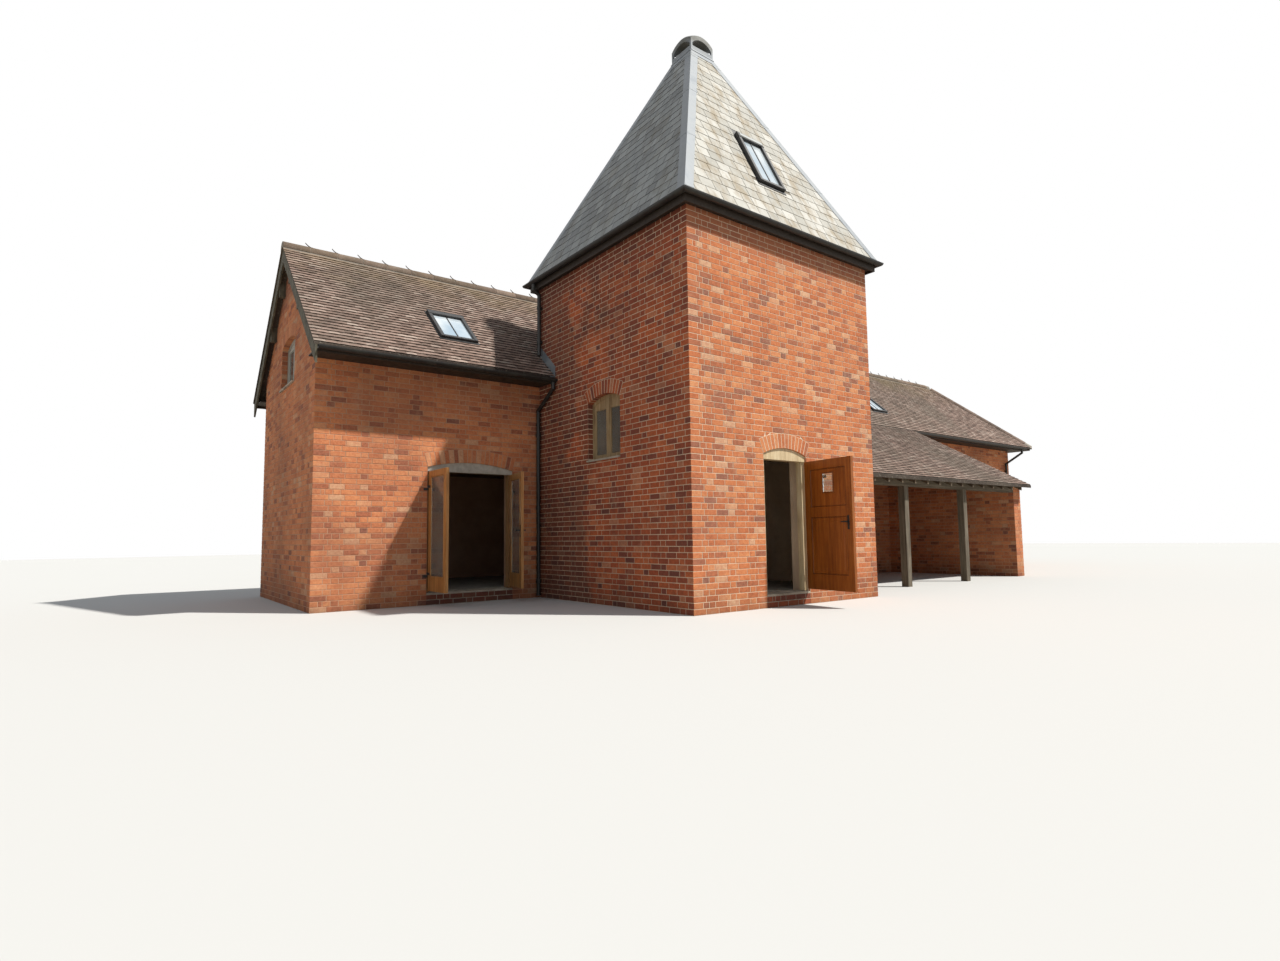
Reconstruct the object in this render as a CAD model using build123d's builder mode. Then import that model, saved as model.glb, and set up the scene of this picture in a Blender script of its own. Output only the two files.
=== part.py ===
from build123d import *

import math
import os

os.makedirs("parts", exist_ok=True)

# Oast house: a square brick kiln with a slated pyramid roof and a cowl, and a long tiled range behind it.
# The origin is the centre of the kiln's plan at ground level. +X runs east along the front, +Y runs back
# through the house and +Z is up. Millimetres.

# Levels
floor_level = 200
upper_floor_top = 2650
upper_floor_depth = 200
threshold_drop = 10

# Kiln walls
kiln_size = 4100
kiln_wall = 330

# Kiln roof, measured to the top face of the slates
kiln_eaves_height = 5740
kiln_eaves_overhang = 150
kiln_pitch = 63.9
kiln_roof_depth = 120
slate_edge = 25
rafter_set_back = 50
kiln_wall_below_eaves = 40
kiln_soffit_below_eaves = 140
kiln_fascia_below_soffit = 40
soffit_board = 20
fascia_board = 22
fascia_top_clearance = 8
eaves_joint = 2
wall_plate_width = 100
hip_lead = 12
hip_lead_width = 160

# Cowl on top of the kiln roof
cowl_half = 265
cowl_curb_overhang = 15
cowl_curb_height = 80
cowl_curb_width = 85
cowl_arch_rise = 165
cowl_shell = 62
cowl_post = 35

# Gutters
gutter_radius = 55
gutter_metal = 4
gutter_rim_drop = 12

# Downpipes and lead flashings
pipe_radius = 34
pipe_wall_gap = 30
pipe_neck_drop = 110
pipe_neck_fall = 0.6
pipe_bracket_height = 40
pipe_bracket_inset = 250
pipe_foot_gap = 40
pipe_corner_gap = 64
pipe_end_inset = 300
kiln_pipe_inset = 100
flashing_lead = 5
flashing_upstand = 150
flashing_lap = 110

# Range of the house behind the kiln
range_depth = 4160
range_wall = 330
range_length = 21830
range_run_west = 3780
range_pitch = 41.5
range_eaves_height = 3860
range_eaves_overhang = 570
range_roof_depth = 150
range_soffit_below_eaves = 60
range_fascia_below_soffit = 60
verge_overhang = 150
tile_edge = 30
bargeboard_depth = 200
bargeboard_thickness = 30
bargeboard_set_back = 20
hip_run = 1790
hip_eaves_overhang = 520
ridge_tile_half_width = 115
ridge_tile_rise = 60
ridge_tile_bed = 40
hip_tile_gap = 4
purlin_width = 100
purlin_depth = 225
purlin_places = (420, 1150)

# Lean-to porch on the kiln's east side
porch_length = 7210
porch_eaves_front = 550
porch_eaves_height = 2150
porch_roof_depth = 55
porch_rafter_width = 50
porch_rafter_depth = 75
porch_rafter_pitch = 450
porch_rafter_set_back = 25
porch_eaves_overhang = 225
porch_beam = 150
porch_post = 140
porch_post_count = 2
porch_verge_overhang = 100

# Windows and doors in the brick walls
window_reveal = 90
frame_depth = 70
frame_face = 55
mullion_face = 60
glass_thickness = 24
glass_fit = 0.3
arch_rise = 100
sill_projection = 40
sill_nose = 25
sill_depth = 40

kiln_window_width = 890
kiln_window_sill = 2256
kiln_window_crown = 3310

gable_window_width = 1100
gable_window_sill = 3700
gable_window_crown = 4570

range_window_width = 1000
range_window_sill = 1100
range_window_crown = 2200
north_window_west_of_kiln = 1550
north_windows_east_of_kiln = (1150, 8550)
south_window_east_of_kiln = 10550

kiln_door_width = 950
kiln_door_centre = -165
kiln_door_crown = 2340
french_door_width = 1520
french_door_west_of_kiln = 1300
french_door_crown = 2330
door_leaf_top = 2150
door_head_clearance = 8
door_frame_face = 60
door_frame_depth = 100
door_head_set_back = 20

# Door leaves and their hinges
leaf_thickness = 44
leaf_gap = 10
leaf_stop_clearance = 6
leaf_floor_clearance = 30
meeting_gap = 8
hinge_inset = 5
hinge_pin_radius = 5
hinge_knuckle_radius = 9
hinge_running_clearance = 0.3
hinge_strap = 6
kiln_strap_length = 420
french_strap_length = 85
hinge_plate_length = 70
hinge_knuckle_height = 40
hinge_low = 250
hinge_high = 1650
kiln_door_opened = 83
french_left_opened = 90
french_right_opened = 78

leaf_stile = 110
leaf_bottom_rail = 225
leaf_mid_rail_bottom = 1070
leaf_mid_rail = 150
leaf_top_rail = 130
panel_recess = 12
door_light_width = 190
door_light_bottom = 1440
door_light_top = 1710
french_stile = 95

# Roof windows
roof_window_frame = 55
roof_window_stand = 40
roof_glass_set_back = 12
kiln_roof_window_width = 580
kiln_roof_window_low = 920
kiln_roof_window_high = 2050
range_roof_window_width = 650
range_roof_window_low = 830
range_roof_window_high = 1760
range_roof_window_west_of_kiln = 1515
range_roof_window_east_of_kiln = 6640

# Places worked out from the sizes above
kiln_half = kiln_size / 2
kiln_inner = kiln_half - kiln_wall
kiln_slope = math.tan(math.radians(kiln_pitch))
slate_edge_half = kiln_half + kiln_eaves_overhang
kiln_roof_top_half = cowl_half - cowl_curb_overhang
kiln_roof_top = kiln_eaves_height + (slate_edge_half - kiln_roof_top_half) * kiln_slope
kiln_roof_run = kiln_roof_depth / math.sin(math.radians(kiln_pitch))
kiln_rafter_end = slate_edge_half - rafter_set_back
kiln_wall_height = kiln_eaves_height - kiln_wall_below_eaves
kiln_soffit_height = kiln_eaves_height - kiln_soffit_below_eaves
kiln_fascia_bottom = kiln_soffit_height - kiln_fascia_below_soffit

range_front = kiln_half
range_back = kiln_half + range_depth
range_centre = (range_front + range_back) / 2
range_west = -kiln_half - range_run_west
range_east = range_west + range_length
range_slope = math.tan(math.radians(range_pitch))
tile_edge_half = range_depth / 2 + range_eaves_overhang
ridge_height = range_eaves_height + tile_edge_half * range_slope
range_roof_drop = range_roof_depth / math.cos(math.radians(range_pitch))
verge_west = range_west - verge_overhang
hip_eaves = range_east + hip_eaves_overhang
ridge_east = hip_eaves - hip_run
hip_slope = (ridge_height - range_eaves_height) / hip_run
hip_drop = range_roof_depth * math.hypot(1, hip_slope)
range_rafter_end = tile_edge_half - rafter_set_back
range_soffit_height = range_eaves_height - range_soffit_below_eaves
range_fascia_bottom = range_soffit_height - range_fascia_below_soffit
rafter_foot = tile_edge_half - (range_soffit_height + range_roof_drop - range_eaves_height) / range_slope
slab_west = verge_west + bargeboard_set_back + bargeboard_thickness
french_door_centre = -kiln_half - french_door_west_of_kiln
south_window_place = kiln_half + south_window_east_of_kiln
north_window_places = [-kiln_half - north_window_west_of_kiln]
north_window_places += [kiln_half + east for east in north_windows_east_of_kiln]
range_roof_window_places = (
    -kiln_half - range_roof_window_west_of_kiln,
    kiln_half + range_roof_window_east_of_kiln,
)

porch_west = kiln_half
porch_east = kiln_half + porch_length
porch_eaves = porch_eaves_front - kiln_half
porch_top_edge = range_centre - tile_edge_half
porch_slope = (range_eaves_height - porch_eaves_height) / (porch_top_edge - porch_eaves)
porch_drop = porch_roof_depth * math.hypot(1, porch_slope)
porch_rafter_drop = porch_rafter_depth * math.hypot(1, porch_slope)
porch_wall_front = porch_eaves + porch_eaves_overhang


def direction(angle):
    return (math.cos(math.radians(angle)), math.sin(math.radians(angle)), 0)


def finish(piece, name):
    piece.part.label = name
    export_step(piece.part, f"parts/{name}.step")


def radial_plane(turn):
    """Upright plane through the kiln's axis: local x is the distance from the axis, local y is height."""
    out = direction(turn)
    return Plane(origin=(0, 0, 0), x_dir=out, z_dir=(out[1], -out[0], 0))


def wall_plane(x, y, facing):
    """Plane on the outer face of a wall: local x to the right seen from outside, local y up."""
    out = direction(facing)
    return Plane(origin=(x, y, 0), x_dir=(-out[1], out[0], 0), z_dir=out)


def outline(points):
    with BuildLine() as edges:
        Polyline(*points, close=True)
    make_face(edges.edges())


def arched_outline(width, bottom, crown, radius, mode=Mode.ADD):
    """Opening with upright sides and a segmental head."""
    spring = crown - radius + math.sqrt(radius**2 - (width / 2) ** 2)
    with BuildLine() as edges:
        Polyline((-width / 2, spring), (-width / 2, bottom), (width / 2, bottom), (width / 2, spring))
        ThreePointArc((width / 2, spring), (0, crown), (-width / 2, spring))
    make_face(edges.edges(), mode=mode)


def arch_radius(width):
    return (width**2 / 4 + arch_rise**2) / (2 * arch_rise)


def cut_opening(plane, width, bottom, crown, wall):
    with BuildSketch(plane) as profile:
        arched_outline(width, bottom, crown, arch_radius(width))
    extrude(profile.sketch, amount=-wall, mode=Mode.SUBTRACT)


# Kiln floor, walls and wall plate
kiln_window_plane = wall_plane(-kiln_half, 0, 180)
kiln_door_plane = wall_plane(kiln_door_centre, -kiln_half, -90)

with BuildPart() as kiln_floor:
    with BuildSketch():
        Rectangle(2 * kiln_inner, 2 * kiln_inner)
    extrude(amount=floor_level)
finish(kiln_floor, "kiln_floor")

with BuildPart() as kiln_west_wall:
    with BuildSketch():
        with Locations((-kiln_half + kiln_wall / 2, 0)):
            Rectangle(kiln_wall, kiln_size)
    extrude(amount=kiln_wall_height)
    cut_opening(kiln_window_plane, kiln_window_width, kiln_window_sill, kiln_window_crown, kiln_wall)
finish(kiln_west_wall, "kiln_west_wall")

with BuildPart() as kiln_east_wall:
    with BuildSketch():
        with Locations((kiln_half - kiln_wall / 2, 0)):
            Rectangle(kiln_wall, kiln_size)
    extrude(amount=kiln_wall_height)
finish(kiln_east_wall, "kiln_east_wall")

with BuildPart() as kiln_north_wall:
    with BuildSketch():
        with Locations((0, kiln_half - kiln_wall / 2)):
            Rectangle(2 * kiln_inner, kiln_wall)
    extrude(amount=kiln_wall_height)
finish(kiln_north_wall, "kiln_north_wall")


def wall_beside_door(plane, low, high, base, top, wall):
    with BuildSketch(plane) as profile:
        with Locations(((low + high) / 2, (base + top) / 2)):
            Rectangle(high - low, top - base)
    extrude(profile.sketch, amount=-wall)


def door_head_height(width, crown):
    radius = arch_radius(width)
    return crown - radius + math.sqrt(radius**2 - (width / 2) ** 2)


kiln_door_spring = door_head_height(kiln_door_width, kiln_door_crown)
kiln_door_side = kiln_door_width / 2
kiln_west_part = -kiln_inner - kiln_door_centre
kiln_east_part = kiln_inner - kiln_door_centre

with BuildPart() as kiln_south_wall_west:
    wall_beside_door(kiln_door_plane, kiln_west_part, -kiln_door_side, 0, kiln_door_spring, kiln_wall)
finish(kiln_south_wall_west, "kiln_south_wall_west")

with BuildPart() as kiln_south_wall_east:
    wall_beside_door(kiln_door_plane, kiln_door_side, kiln_east_part, 0, kiln_door_spring, kiln_wall)
finish(kiln_south_wall_east, "kiln_south_wall_east")

with BuildPart() as kiln_south_wall_over_door:
    wall_beside_door(
        kiln_door_plane, kiln_west_part, kiln_east_part, kiln_door_spring, kiln_wall_height, kiln_wall
    )
    cut_opening(kiln_door_plane, kiln_door_width, 0, kiln_door_crown, kiln_wall)
finish(kiln_south_wall_over_door, "kiln_south_wall_over_door")


def roof_underside(distance):
    """Height of the kiln roof's underside at a distance from the kiln's axis."""
    return kiln_eaves_height + (slate_edge_half - kiln_roof_run - distance) * kiln_slope


def mitre_ends(turn, joint):
    """Cut one side of a square ring at 45 degrees at both ends, leaving half a joint at each."""
    for lean in (-45, 45):
        mitre = Plane(origin=(0, 0, 0), z_dir=direction(turn + lean))
        split(bisect_by=mitre.offset(joint / 2), keep=Keep.TOP)


def mitred_side(turn, points, joint=0):
    """One side of a square ring about the kiln's axis."""
    with BuildPart() as side:
        with BuildSketch(radial_plane(turn)):
            outline(points)
        extrude(amount=2 * kiln_size, both=True)
        mitre_ends(turn, joint)
    return side.part


compass = {"south": -90, "west": 180, "north": 90, "east": 0}

plate_inner = kiln_half - wall_plate_width
plate_outline = [
    (plate_inner, kiln_wall_height),
    (kiln_half, kiln_wall_height),
    (kiln_half, roof_underside(kiln_half)),
    (plate_inner, roof_underside(plate_inner)),
]
plate_sides = [mitred_side(turn, plate_outline, eaves_joint) for turn in compass.values()]
with BuildPart() as kiln_wall_plate:
    for plate_side in plate_sides:
        add(plate_side)
finish(kiln_wall_plate, "kiln_wall_plate")

# Kiln roof: four slated slopes that meet at the hips
soffit_top = kiln_soffit_height + soffit_board
underside_foot = slate_edge_half - kiln_roof_run + (kiln_eaves_height - soffit_top) / kiln_slope
slope_outline = [
    (slate_edge_half, kiln_eaves_height),
    (kiln_roof_top_half, kiln_roof_top),
    (kiln_roof_top_half - kiln_roof_run, kiln_roof_top),
    (underside_foot, soffit_top),
    (kiln_rafter_end, soffit_top),
    (kiln_rafter_end, kiln_eaves_height - slate_edge + rafter_set_back * kiln_slope),
    (slate_edge_half, kiln_eaves_height - slate_edge),
]


def slope_plane(x, y, z, facing, pitch):
    """Plane on a roof slope: local x along the eaves, local y up the slope, z out of the roof."""
    out = direction(facing)
    rise = math.radians(pitch)
    normal = (out[0] * math.sin(rise), out[1] * math.sin(rise), math.cos(rise))
    return Plane(origin=(x, y, z), x_dir=(-out[1], out[0], 0), z_dir=normal)


def window_in_slope(plane, width, low, high, depth):
    with BuildSketch(plane.offset(depth)) as profile:
        with Locations((0, (low + high) / 2)):
            Rectangle(width, high - low)
    extrude(profile.sketch, amount=-4 * depth, mode=Mode.SUBTRACT)


kiln_slope_plane = slope_plane(0, -slate_edge_half, kiln_eaves_height, -90, kiln_pitch)

for side_name, turn in compass.items():
    slope_side = mitred_side(turn, slope_outline)
    with BuildPart() as kiln_roof_side:
        add(slope_side)
        if side_name == "south":
            window_in_slope(
                kiln_slope_plane,
                kiln_roof_window_width,
                kiln_roof_window_low,
                kiln_roof_window_high,
                kiln_roof_depth,
            )
    finish(kiln_roof_side, f"kiln_roof_{side_name}")

# Lead over the four hips, dressed down on both slopes
lead_run = hip_lead / math.sin(math.radians(kiln_pitch))
hip_sides = [
    mitred_side(
        turn,
        [
            (slate_edge_half, kiln_eaves_height),
            (slate_edge_half + lead_run, kiln_eaves_height),
            (kiln_roof_top_half + lead_run, kiln_roof_top),
            (kiln_roof_top_half, kiln_roof_top),
        ],
    )
    for turn in compass.values()
]
with BuildPart() as kiln_hips:
    for hip_side in hip_sides:
        add(hip_side)
    with BuildSketch():
        for turn in compass.values():
            along = direction(turn)
            across = direction(turn + 90)
            wide = 2 * kiln_size
            left, right = (
                (along[0] * wide + s * across[0] * (wide - hip_lead_width),
                 along[1] * wide + s * across[1] * (wide - hip_lead_width))
                for s in (-1, 1)
            )
            outline([(along[0] * hip_lead_width, along[1] * hip_lead_width), left, right])
    extrude(amount=2 * kiln_roof_top, mode=Mode.SUBTRACT)
finish(kiln_hips, "kiln_hips")

# Fascia and soffit boards round the kiln's eaves
fascia_outer = kiln_rafter_end + fascia_board
slate_over_fascia = kiln_eaves_height - slate_edge + (slate_edge_half - fascia_outer) * kiln_slope
fascia_top = slate_over_fascia - fascia_top_clearance
fascia_outline = [
    (kiln_half, kiln_soffit_height),
    (kiln_rafter_end, kiln_soffit_height),
    (kiln_rafter_end, kiln_fascia_bottom),
    (fascia_outer, kiln_fascia_bottom),
    (fascia_outer, fascia_top),
    (kiln_rafter_end, fascia_top),
    (kiln_rafter_end, soffit_top),
    (kiln_half, soffit_top),
]
fascia_sides = [mitred_side(turn, fascia_outline, eaves_joint) for turn in compass.values()]
with BuildPart() as kiln_fascia:
    for fascia_side in fascia_sides:
        add(fascia_side)
finish(kiln_fascia, "kiln_fascia")


def gutter_outline(back, rim):
    """Half-round channel whose back edge is at back and whose rim is at rim."""
    centre = back + gutter_radius
    inner = gutter_radius - gutter_metal
    with BuildLine() as edges:
        Line((centre - gutter_radius, rim), (centre - inner, rim))
        ThreePointArc((centre - inner, rim), (centre, rim - inner), (centre + inner, rim))
        Line((centre + inner, rim), (centre + gutter_radius, rim))
        ThreePointArc(
            (centre + gutter_radius, rim), (centre, rim - gutter_radius), (centre - gutter_radius, rim)
        )
    make_face(edges.edges())


kiln_gutter_rim = kiln_eaves_height - slate_edge - gutter_rim_drop


def mitred_gutter(turn):
    with BuildPart() as side:
        with BuildSketch(radial_plane(turn)):
            gutter_outline(fascia_outer, kiln_gutter_rim)
        extrude(amount=2 * kiln_size, both=True)
        mitre_ends(turn, eaves_joint)
    return side.part


gutter_sides = [mitred_gutter(turn) for turn in compass.values()]
with BuildPart() as kiln_gutter:
    for gutter_side in gutter_sides:
        add(gutter_side)
finish(kiln_gutter, "kiln_gutter")

# Cowl: a curb on the cut top of the roof, and a lead-clad lid on four corner posts.
# The lid is a sail vault: a ball cut square, so each side is an arch and the crown is a dome.
# Arched openings run through it both ways between its posts.
cowl_sill = kiln_roof_top + cowl_curb_height
vault_drop = (cowl_half**2 - cowl_arch_rise**2) / (2 * cowl_arch_rise)
vault_inner = math.hypot(cowl_half, cowl_arch_rise + vault_drop)
vault_outer = vault_inner + cowl_shell
cowl_arch_radius = math.hypot(cowl_half, vault_drop)
vault_centre = cowl_sill - vault_drop

with BuildPart() as kiln_cowl_curb:
    with BuildSketch(Plane.XY.offset(kiln_roof_top)):
        Rectangle(2 * cowl_half, 2 * cowl_half)
        Rectangle(
            2 * (cowl_half - cowl_curb_width), 2 * (cowl_half - cowl_curb_width), mode=Mode.SUBTRACT
        )
    extrude(amount=cowl_curb_height)
finish(kiln_cowl_curb, "kiln_cowl_curb")

with BuildPart() as kiln_cowl_lid:
    with BuildSketch(Plane.XY.offset(cowl_sill)):
        Rectangle(2 * cowl_half, 2 * cowl_half)
    extrude(amount=vault_outer)
    with Locations((0, 0, vault_centre)):
        Sphere(vault_outer, rotation=(90, 0, 0), mode=Mode.INTERSECT)
    for plane in (Plane.XZ, Plane.YZ):
        with BuildSketch(plane) as profile:
            arched_outline(
                2 * (cowl_half - cowl_post), cowl_sill, cowl_sill + cowl_arch_rise, cowl_arch_radius
            )
        extrude(profile.sketch, amount=cowl_half, both=True, mode=Mode.SUBTRACT)
finish(kiln_cowl_lid, "kiln_cowl_lid")


# Range: floors and walls
def main_underside(y):
    return ridge_height - range_roof_drop - abs(y - range_centre) * range_slope


hip_underside = Plane(
    origin=(hip_eaves, 0, range_eaves_height - hip_drop),
    z_dir=(hip_slope, 0, 1),
)
long_undersides = [
    Plane(origin=(0, range_centre, ridge_height - range_roof_drop), z_dir=(0, side * range_slope, 1))
    for side in (-1, 1)
]
range_inner_front = range_front + range_wall
range_inner_back = range_back - range_wall
range_inner_west = range_west + range_wall
range_inner_east = range_east - range_wall
inner_length = range_inner_east - range_inner_west
inner_middle = (range_inner_east + range_inner_west) / 2


def floor_slab(bottom, top):
    with BuildSketch(Plane.XY.offset(bottom)) as profile:
        with Locations((inner_middle, range_centre)):
            Rectangle(inner_length, range_inner_back - range_inner_front)
    extrude(profile.sketch, amount=top - bottom)


with BuildPart() as range_floor:
    floor_slab(0, floor_level)
finish(range_floor, "range_floor")

with BuildPart() as range_upper_floor:
    floor_slab(upper_floor_top - upper_floor_depth, upper_floor_top)
finish(range_upper_floor, "range_upper_floor")


def long_wall(outer, inner, west, east, base):
    """Stretch of a long wall whose top follows the underside of the roof."""
    with BuildSketch(Plane.YZ.offset(west)) as profile:
        outline(
            [(outer, base), (inner, base), (inner, main_underside(inner)), (outer, main_underside(outer))]
        )
    extrude(profile.sketch, amount=east - west)
    split(bisect_by=hip_underside, keep=Keep.BOTTOM)


french_west = french_door_centre - french_door_width / 2
french_east = french_door_centre + french_door_width / 2
french_spring = door_head_height(french_door_width, french_door_crown)
french_plane = wall_plane(french_door_centre, range_front, -90)
south_window_plane = wall_plane(south_window_place, range_front, -90)
north_window_planes = [wall_plane(x, range_back, 90) for x in north_window_places]
gable_plane = wall_plane(range_west, range_centre, 180)

with BuildPart() as range_south_wall_west:
    long_wall(range_front, range_inner_front, range_west, french_west, 0)
finish(range_south_wall_west, "range_south_wall_west")

with BuildPart() as range_south_wall_over_french_doors:
    long_wall(range_front, range_inner_front, french_west, french_east, french_spring)
    cut_opening(french_plane, french_door_width, 0, french_door_crown, range_wall)
finish(range_south_wall_over_french_doors, "range_south_wall_over_french_doors")

with BuildPart() as range_south_wall_east:
    long_wall(range_front, range_inner_front, french_east, range_east, 0)
    cut_opening(south_window_plane, range_window_width, range_window_sill, range_window_crown, range_wall)
finish(range_south_wall_east, "range_south_wall_east")

with BuildPart() as range_north_wall:
    long_wall(range_back, range_inner_back, range_west, range_east, 0)
    for plane in north_window_planes:
        cut_opening(plane, range_window_width, range_window_sill, range_window_crown, range_wall)
finish(range_north_wall, "range_north_wall")

with BuildPart() as range_west_gable:
    with BuildSketch(Plane.YZ.offset(range_west)):
        outline(
            [
                (range_inner_front, 0),
                (range_inner_back, 0),
                (range_inner_back, main_underside(range_inner_back)),
                (range_centre, main_underside(range_centre)),
                (range_inner_front, main_underside(range_inner_front)),
            ]
        )
    extrude(amount=range_wall)
    cut_opening(gable_plane, gable_window_width, gable_window_sill, gable_window_crown, range_wall)
finish(range_west_gable, "range_west_gable")

with BuildPart() as range_east_wall:
    with BuildSketch():
        with Locations((range_east - range_wall / 2, range_centre)):
            Rectangle(range_wall, range_inner_back - range_inner_front)
    extrude(amount=ridge_height)
    for underside in (hip_underside, *long_undersides):
        split(bisect_by=underside, keep=Keep.BOTTOM)
finish(range_east_wall, "range_east_wall")

# Range roof: two long tiled slopes and a steeper hipped end
tile_lip = [
    (tile_edge_half, range_eaves_height),
    (tile_edge_half, range_eaves_height - tile_edge),
    (range_rafter_end, range_eaves_height - tile_edge + rafter_set_back * range_slope),
]


def long_slope(side):
    """One long slope, side -1 at the front and 1 at the back, before it is fitted round the kiln."""
    main = [
        (0, ridge_height),
        *tile_lip,
        (range_rafter_end, range_soffit_height),
        (rafter_foot, range_soffit_height),
        (0, ridge_height - range_roof_drop),
    ]
    lip = [
        (0, ridge_height),
        (tile_edge_half, range_eaves_height),
        (tile_edge_half, range_eaves_height - tile_edge),
        (0, ridge_height - tile_edge),
    ]
    for points, west in ((main, slab_west), (lip, verge_west)):
        with BuildSketch(Plane.YZ.offset(west)) as profile:
            outline([(range_centre + side * across, up) for across, up in points])
        extrude(profile.sketch, amount=hip_eaves - west)
    split(
        bisect_by=Plane(origin=(ridge_east, range_centre, 0), z_dir=(-tile_edge_half, side * hip_run, 0)),
        keep=Keep.TOP,
    )


def range_slope_plane(x, side):
    return slope_plane(x, range_centre + side * tile_edge_half, range_eaves_height, side * 90, range_pitch)


with BuildPart() as range_roof_south:
    long_slope(-1)
    with BuildSketch():
        with Locations((0, range_front - kiln_half)):
            Rectangle(kiln_size, kiln_size)
    extrude(amount=ridge_height, mode=Mode.SUBTRACT)
    for x in range_roof_window_places:
        window_in_slope(
            range_slope_plane(x, -1),
            range_roof_window_width,
            range_roof_window_low,
            range_roof_window_high,
            range_roof_depth,
        )
finish(range_roof_south, "range_roof_south")

with BuildPart() as range_roof_north:
    long_slope(1)
finish(range_roof_north, "range_roof_north")

with BuildPart() as range_roof_east:
    hip_foot = hip_eaves - (range_soffit_height + hip_drop - range_eaves_height) / hip_slope
    hip_rafter_end = hip_eaves - rafter_set_back
    with BuildSketch(Plane.XZ.offset(-range_centre)):
        outline(
            [
                (ridge_east, ridge_height),
                (hip_eaves, range_eaves_height),
                (hip_eaves, range_eaves_height - tile_edge),
                (hip_rafter_end, range_eaves_height - tile_edge + rafter_set_back * hip_slope),
                (hip_rafter_end, range_soffit_height),
                (hip_foot, range_soffit_height),
                (ridge_east, ridge_height - hip_drop),
            ]
        )
    extrude(amount=tile_edge_half, both=True)
    for side in (-1, 1):
        split(
            bisect_by=Plane(
                origin=(ridge_east, range_centre, 0), z_dir=(tile_edge_half, -side * hip_run, 0)
            ),
            keep=Keep.TOP,
        )
finish(range_roof_east, "range_roof_east")

# Half-round ridge tiles in one bedded run along the ridge, and the same down the two hips
def tile_outline(fall_left, fall_right):
    """Half-round tile on its bed of mortar, astride two slopes that fall away from the local origin."""
    half = ridge_tile_half_width
    shoulder = ridge_tile_bed - half * (fall_left + fall_right) / 2
    with BuildLine() as edges:
        Polyline(
            (-half, shoulder),
            (-half, -half * fall_left),
            (0, 0),
            (half, -half * fall_right),
            (half, shoulder),
        )
        ThreePointArc((half, shoulder), (0, ridge_tile_rise), (-half, shoulder))
    make_face(edges.edges())


with BuildPart() as range_ridge_tiles:
    verge = (verge_west, range_centre, ridge_height)
    with BuildSketch(Plane(origin=verge, x_dir=(0, 1, 0), z_dir=(1, 0, 0))):
        tile_outline(range_slope, range_slope)
    extrude(amount=ridge_east - verge_west)
finish(range_ridge_tiles, "range_ridge_tiles")

hip_line = Vector(hip_run, tile_edge_half, range_eaves_height - ridge_height)
hip_unit = hip_line.normalized()
hip_side = Vector(-tile_edge_half, hip_run, 0).normalized()
hip_normal = hip_unit.cross(hip_side)
north_normal = Vector(0, range_slope, 1)
east_normal = Vector(hip_slope, 0, 1)
north_fall = north_normal.dot(hip_side) / north_normal.dot(hip_normal)
east_fall = -east_normal.dot(hip_side) / east_normal.dot(hip_normal)
hip_start = hip_tile_gap - ridge_tile_half_width * hip_side.X / hip_unit.X
hip_head = Vector(ridge_east, range_centre, ridge_height) + hip_unit * hip_start

with BuildPart() as hip_tiles_north:
    with BuildSketch(Plane(origin=hip_head, x_dir=hip_side, z_dir=hip_unit)):
        tile_outline(east_fall, north_fall)
    extrude(amount=hip_line.length)
    split(bisect_by=Plane(origin=(hip_eaves, 0, 0), z_dir=(-1, 0, 0)), keep=Keep.TOP)
    split(bisect_by=Plane(origin=(0, range_centre + tile_edge_half, 0), z_dir=(0, -1, 0)), keep=Keep.TOP)

with BuildPart() as range_hip_tiles:
    add(hip_tiles_north.part)
    mirror(hip_tiles_north.part, about=Plane.XZ.offset(-range_centre))
finish(range_hip_tiles, "range_hip_tiles")

# Purlin ends that carry the verge beyond the west gable
with BuildPart() as range_purlin_ends:
    with BuildSketch(Plane.YZ.offset(slab_west)):
        for side in (-1, 1):
            for place in purlin_places:
                near, far_edge = place - purlin_width / 2, place + purlin_width / 2
                bottom = main_underside(range_centre + place) - purlin_depth
                outline(
                    [
                        (range_centre + side * near, bottom),
                        (range_centre + side * far_edge, bottom),
                        (range_centre + side * far_edge, main_underside(range_centre + far_edge)),
                        (range_centre + side * near, main_underside(range_centre + near)),
                    ]
                )
    extrude(amount=range_west - slab_west)
finish(range_purlin_ends, "range_purlin_ends")

# Bargeboards on the west gable, tucked under the tiles at the verge
with BuildPart() as range_bargeboards:
    board_top = ridge_height - tile_edge
    board_drop = bargeboard_depth / math.cos(math.radians(range_pitch))
    board_foot = board_top - tile_edge_half * range_slope
    with BuildSketch(Plane.YZ.offset(verge_west + bargeboard_set_back)):
        outline(
            [
                (range_centre, board_top),
                (range_centre - tile_edge_half, board_foot),
                (range_centre - tile_edge_half, board_foot - board_drop),
                (range_centre, board_top - board_drop),
                (range_centre + tile_edge_half, board_foot - board_drop),
                (range_centre + tile_edge_half, board_foot),
            ]
        )
    extrude(amount=bargeboard_thickness)
finish(range_bargeboards, "range_bargeboards")


# Soffits, fascias and gutters along the range's eaves
range_fascia_outer = range_rafter_end + fascia_board
range_fascia_top = (
    range_eaves_height - tile_edge + (tile_edge_half - range_fascia_outer) * range_slope
    - fascia_top_clearance
)
range_gutter_rim = range_eaves_height - tile_edge - gutter_rim_drop
porch_wall_outer = porch_east - porch_verge_overhang
porch_wall_inner = porch_wall_outer - range_wall


def level_board(west, east, front, back, bottom, top):
    with BuildSketch(Plane.XY.offset(bottom)) as profile:
        with Locations(((west + east) / 2, (front + back) / 2)):
            Rectangle(east - west, abs(back - front))
    extrude(profile.sketch, amount=top - bottom)


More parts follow.
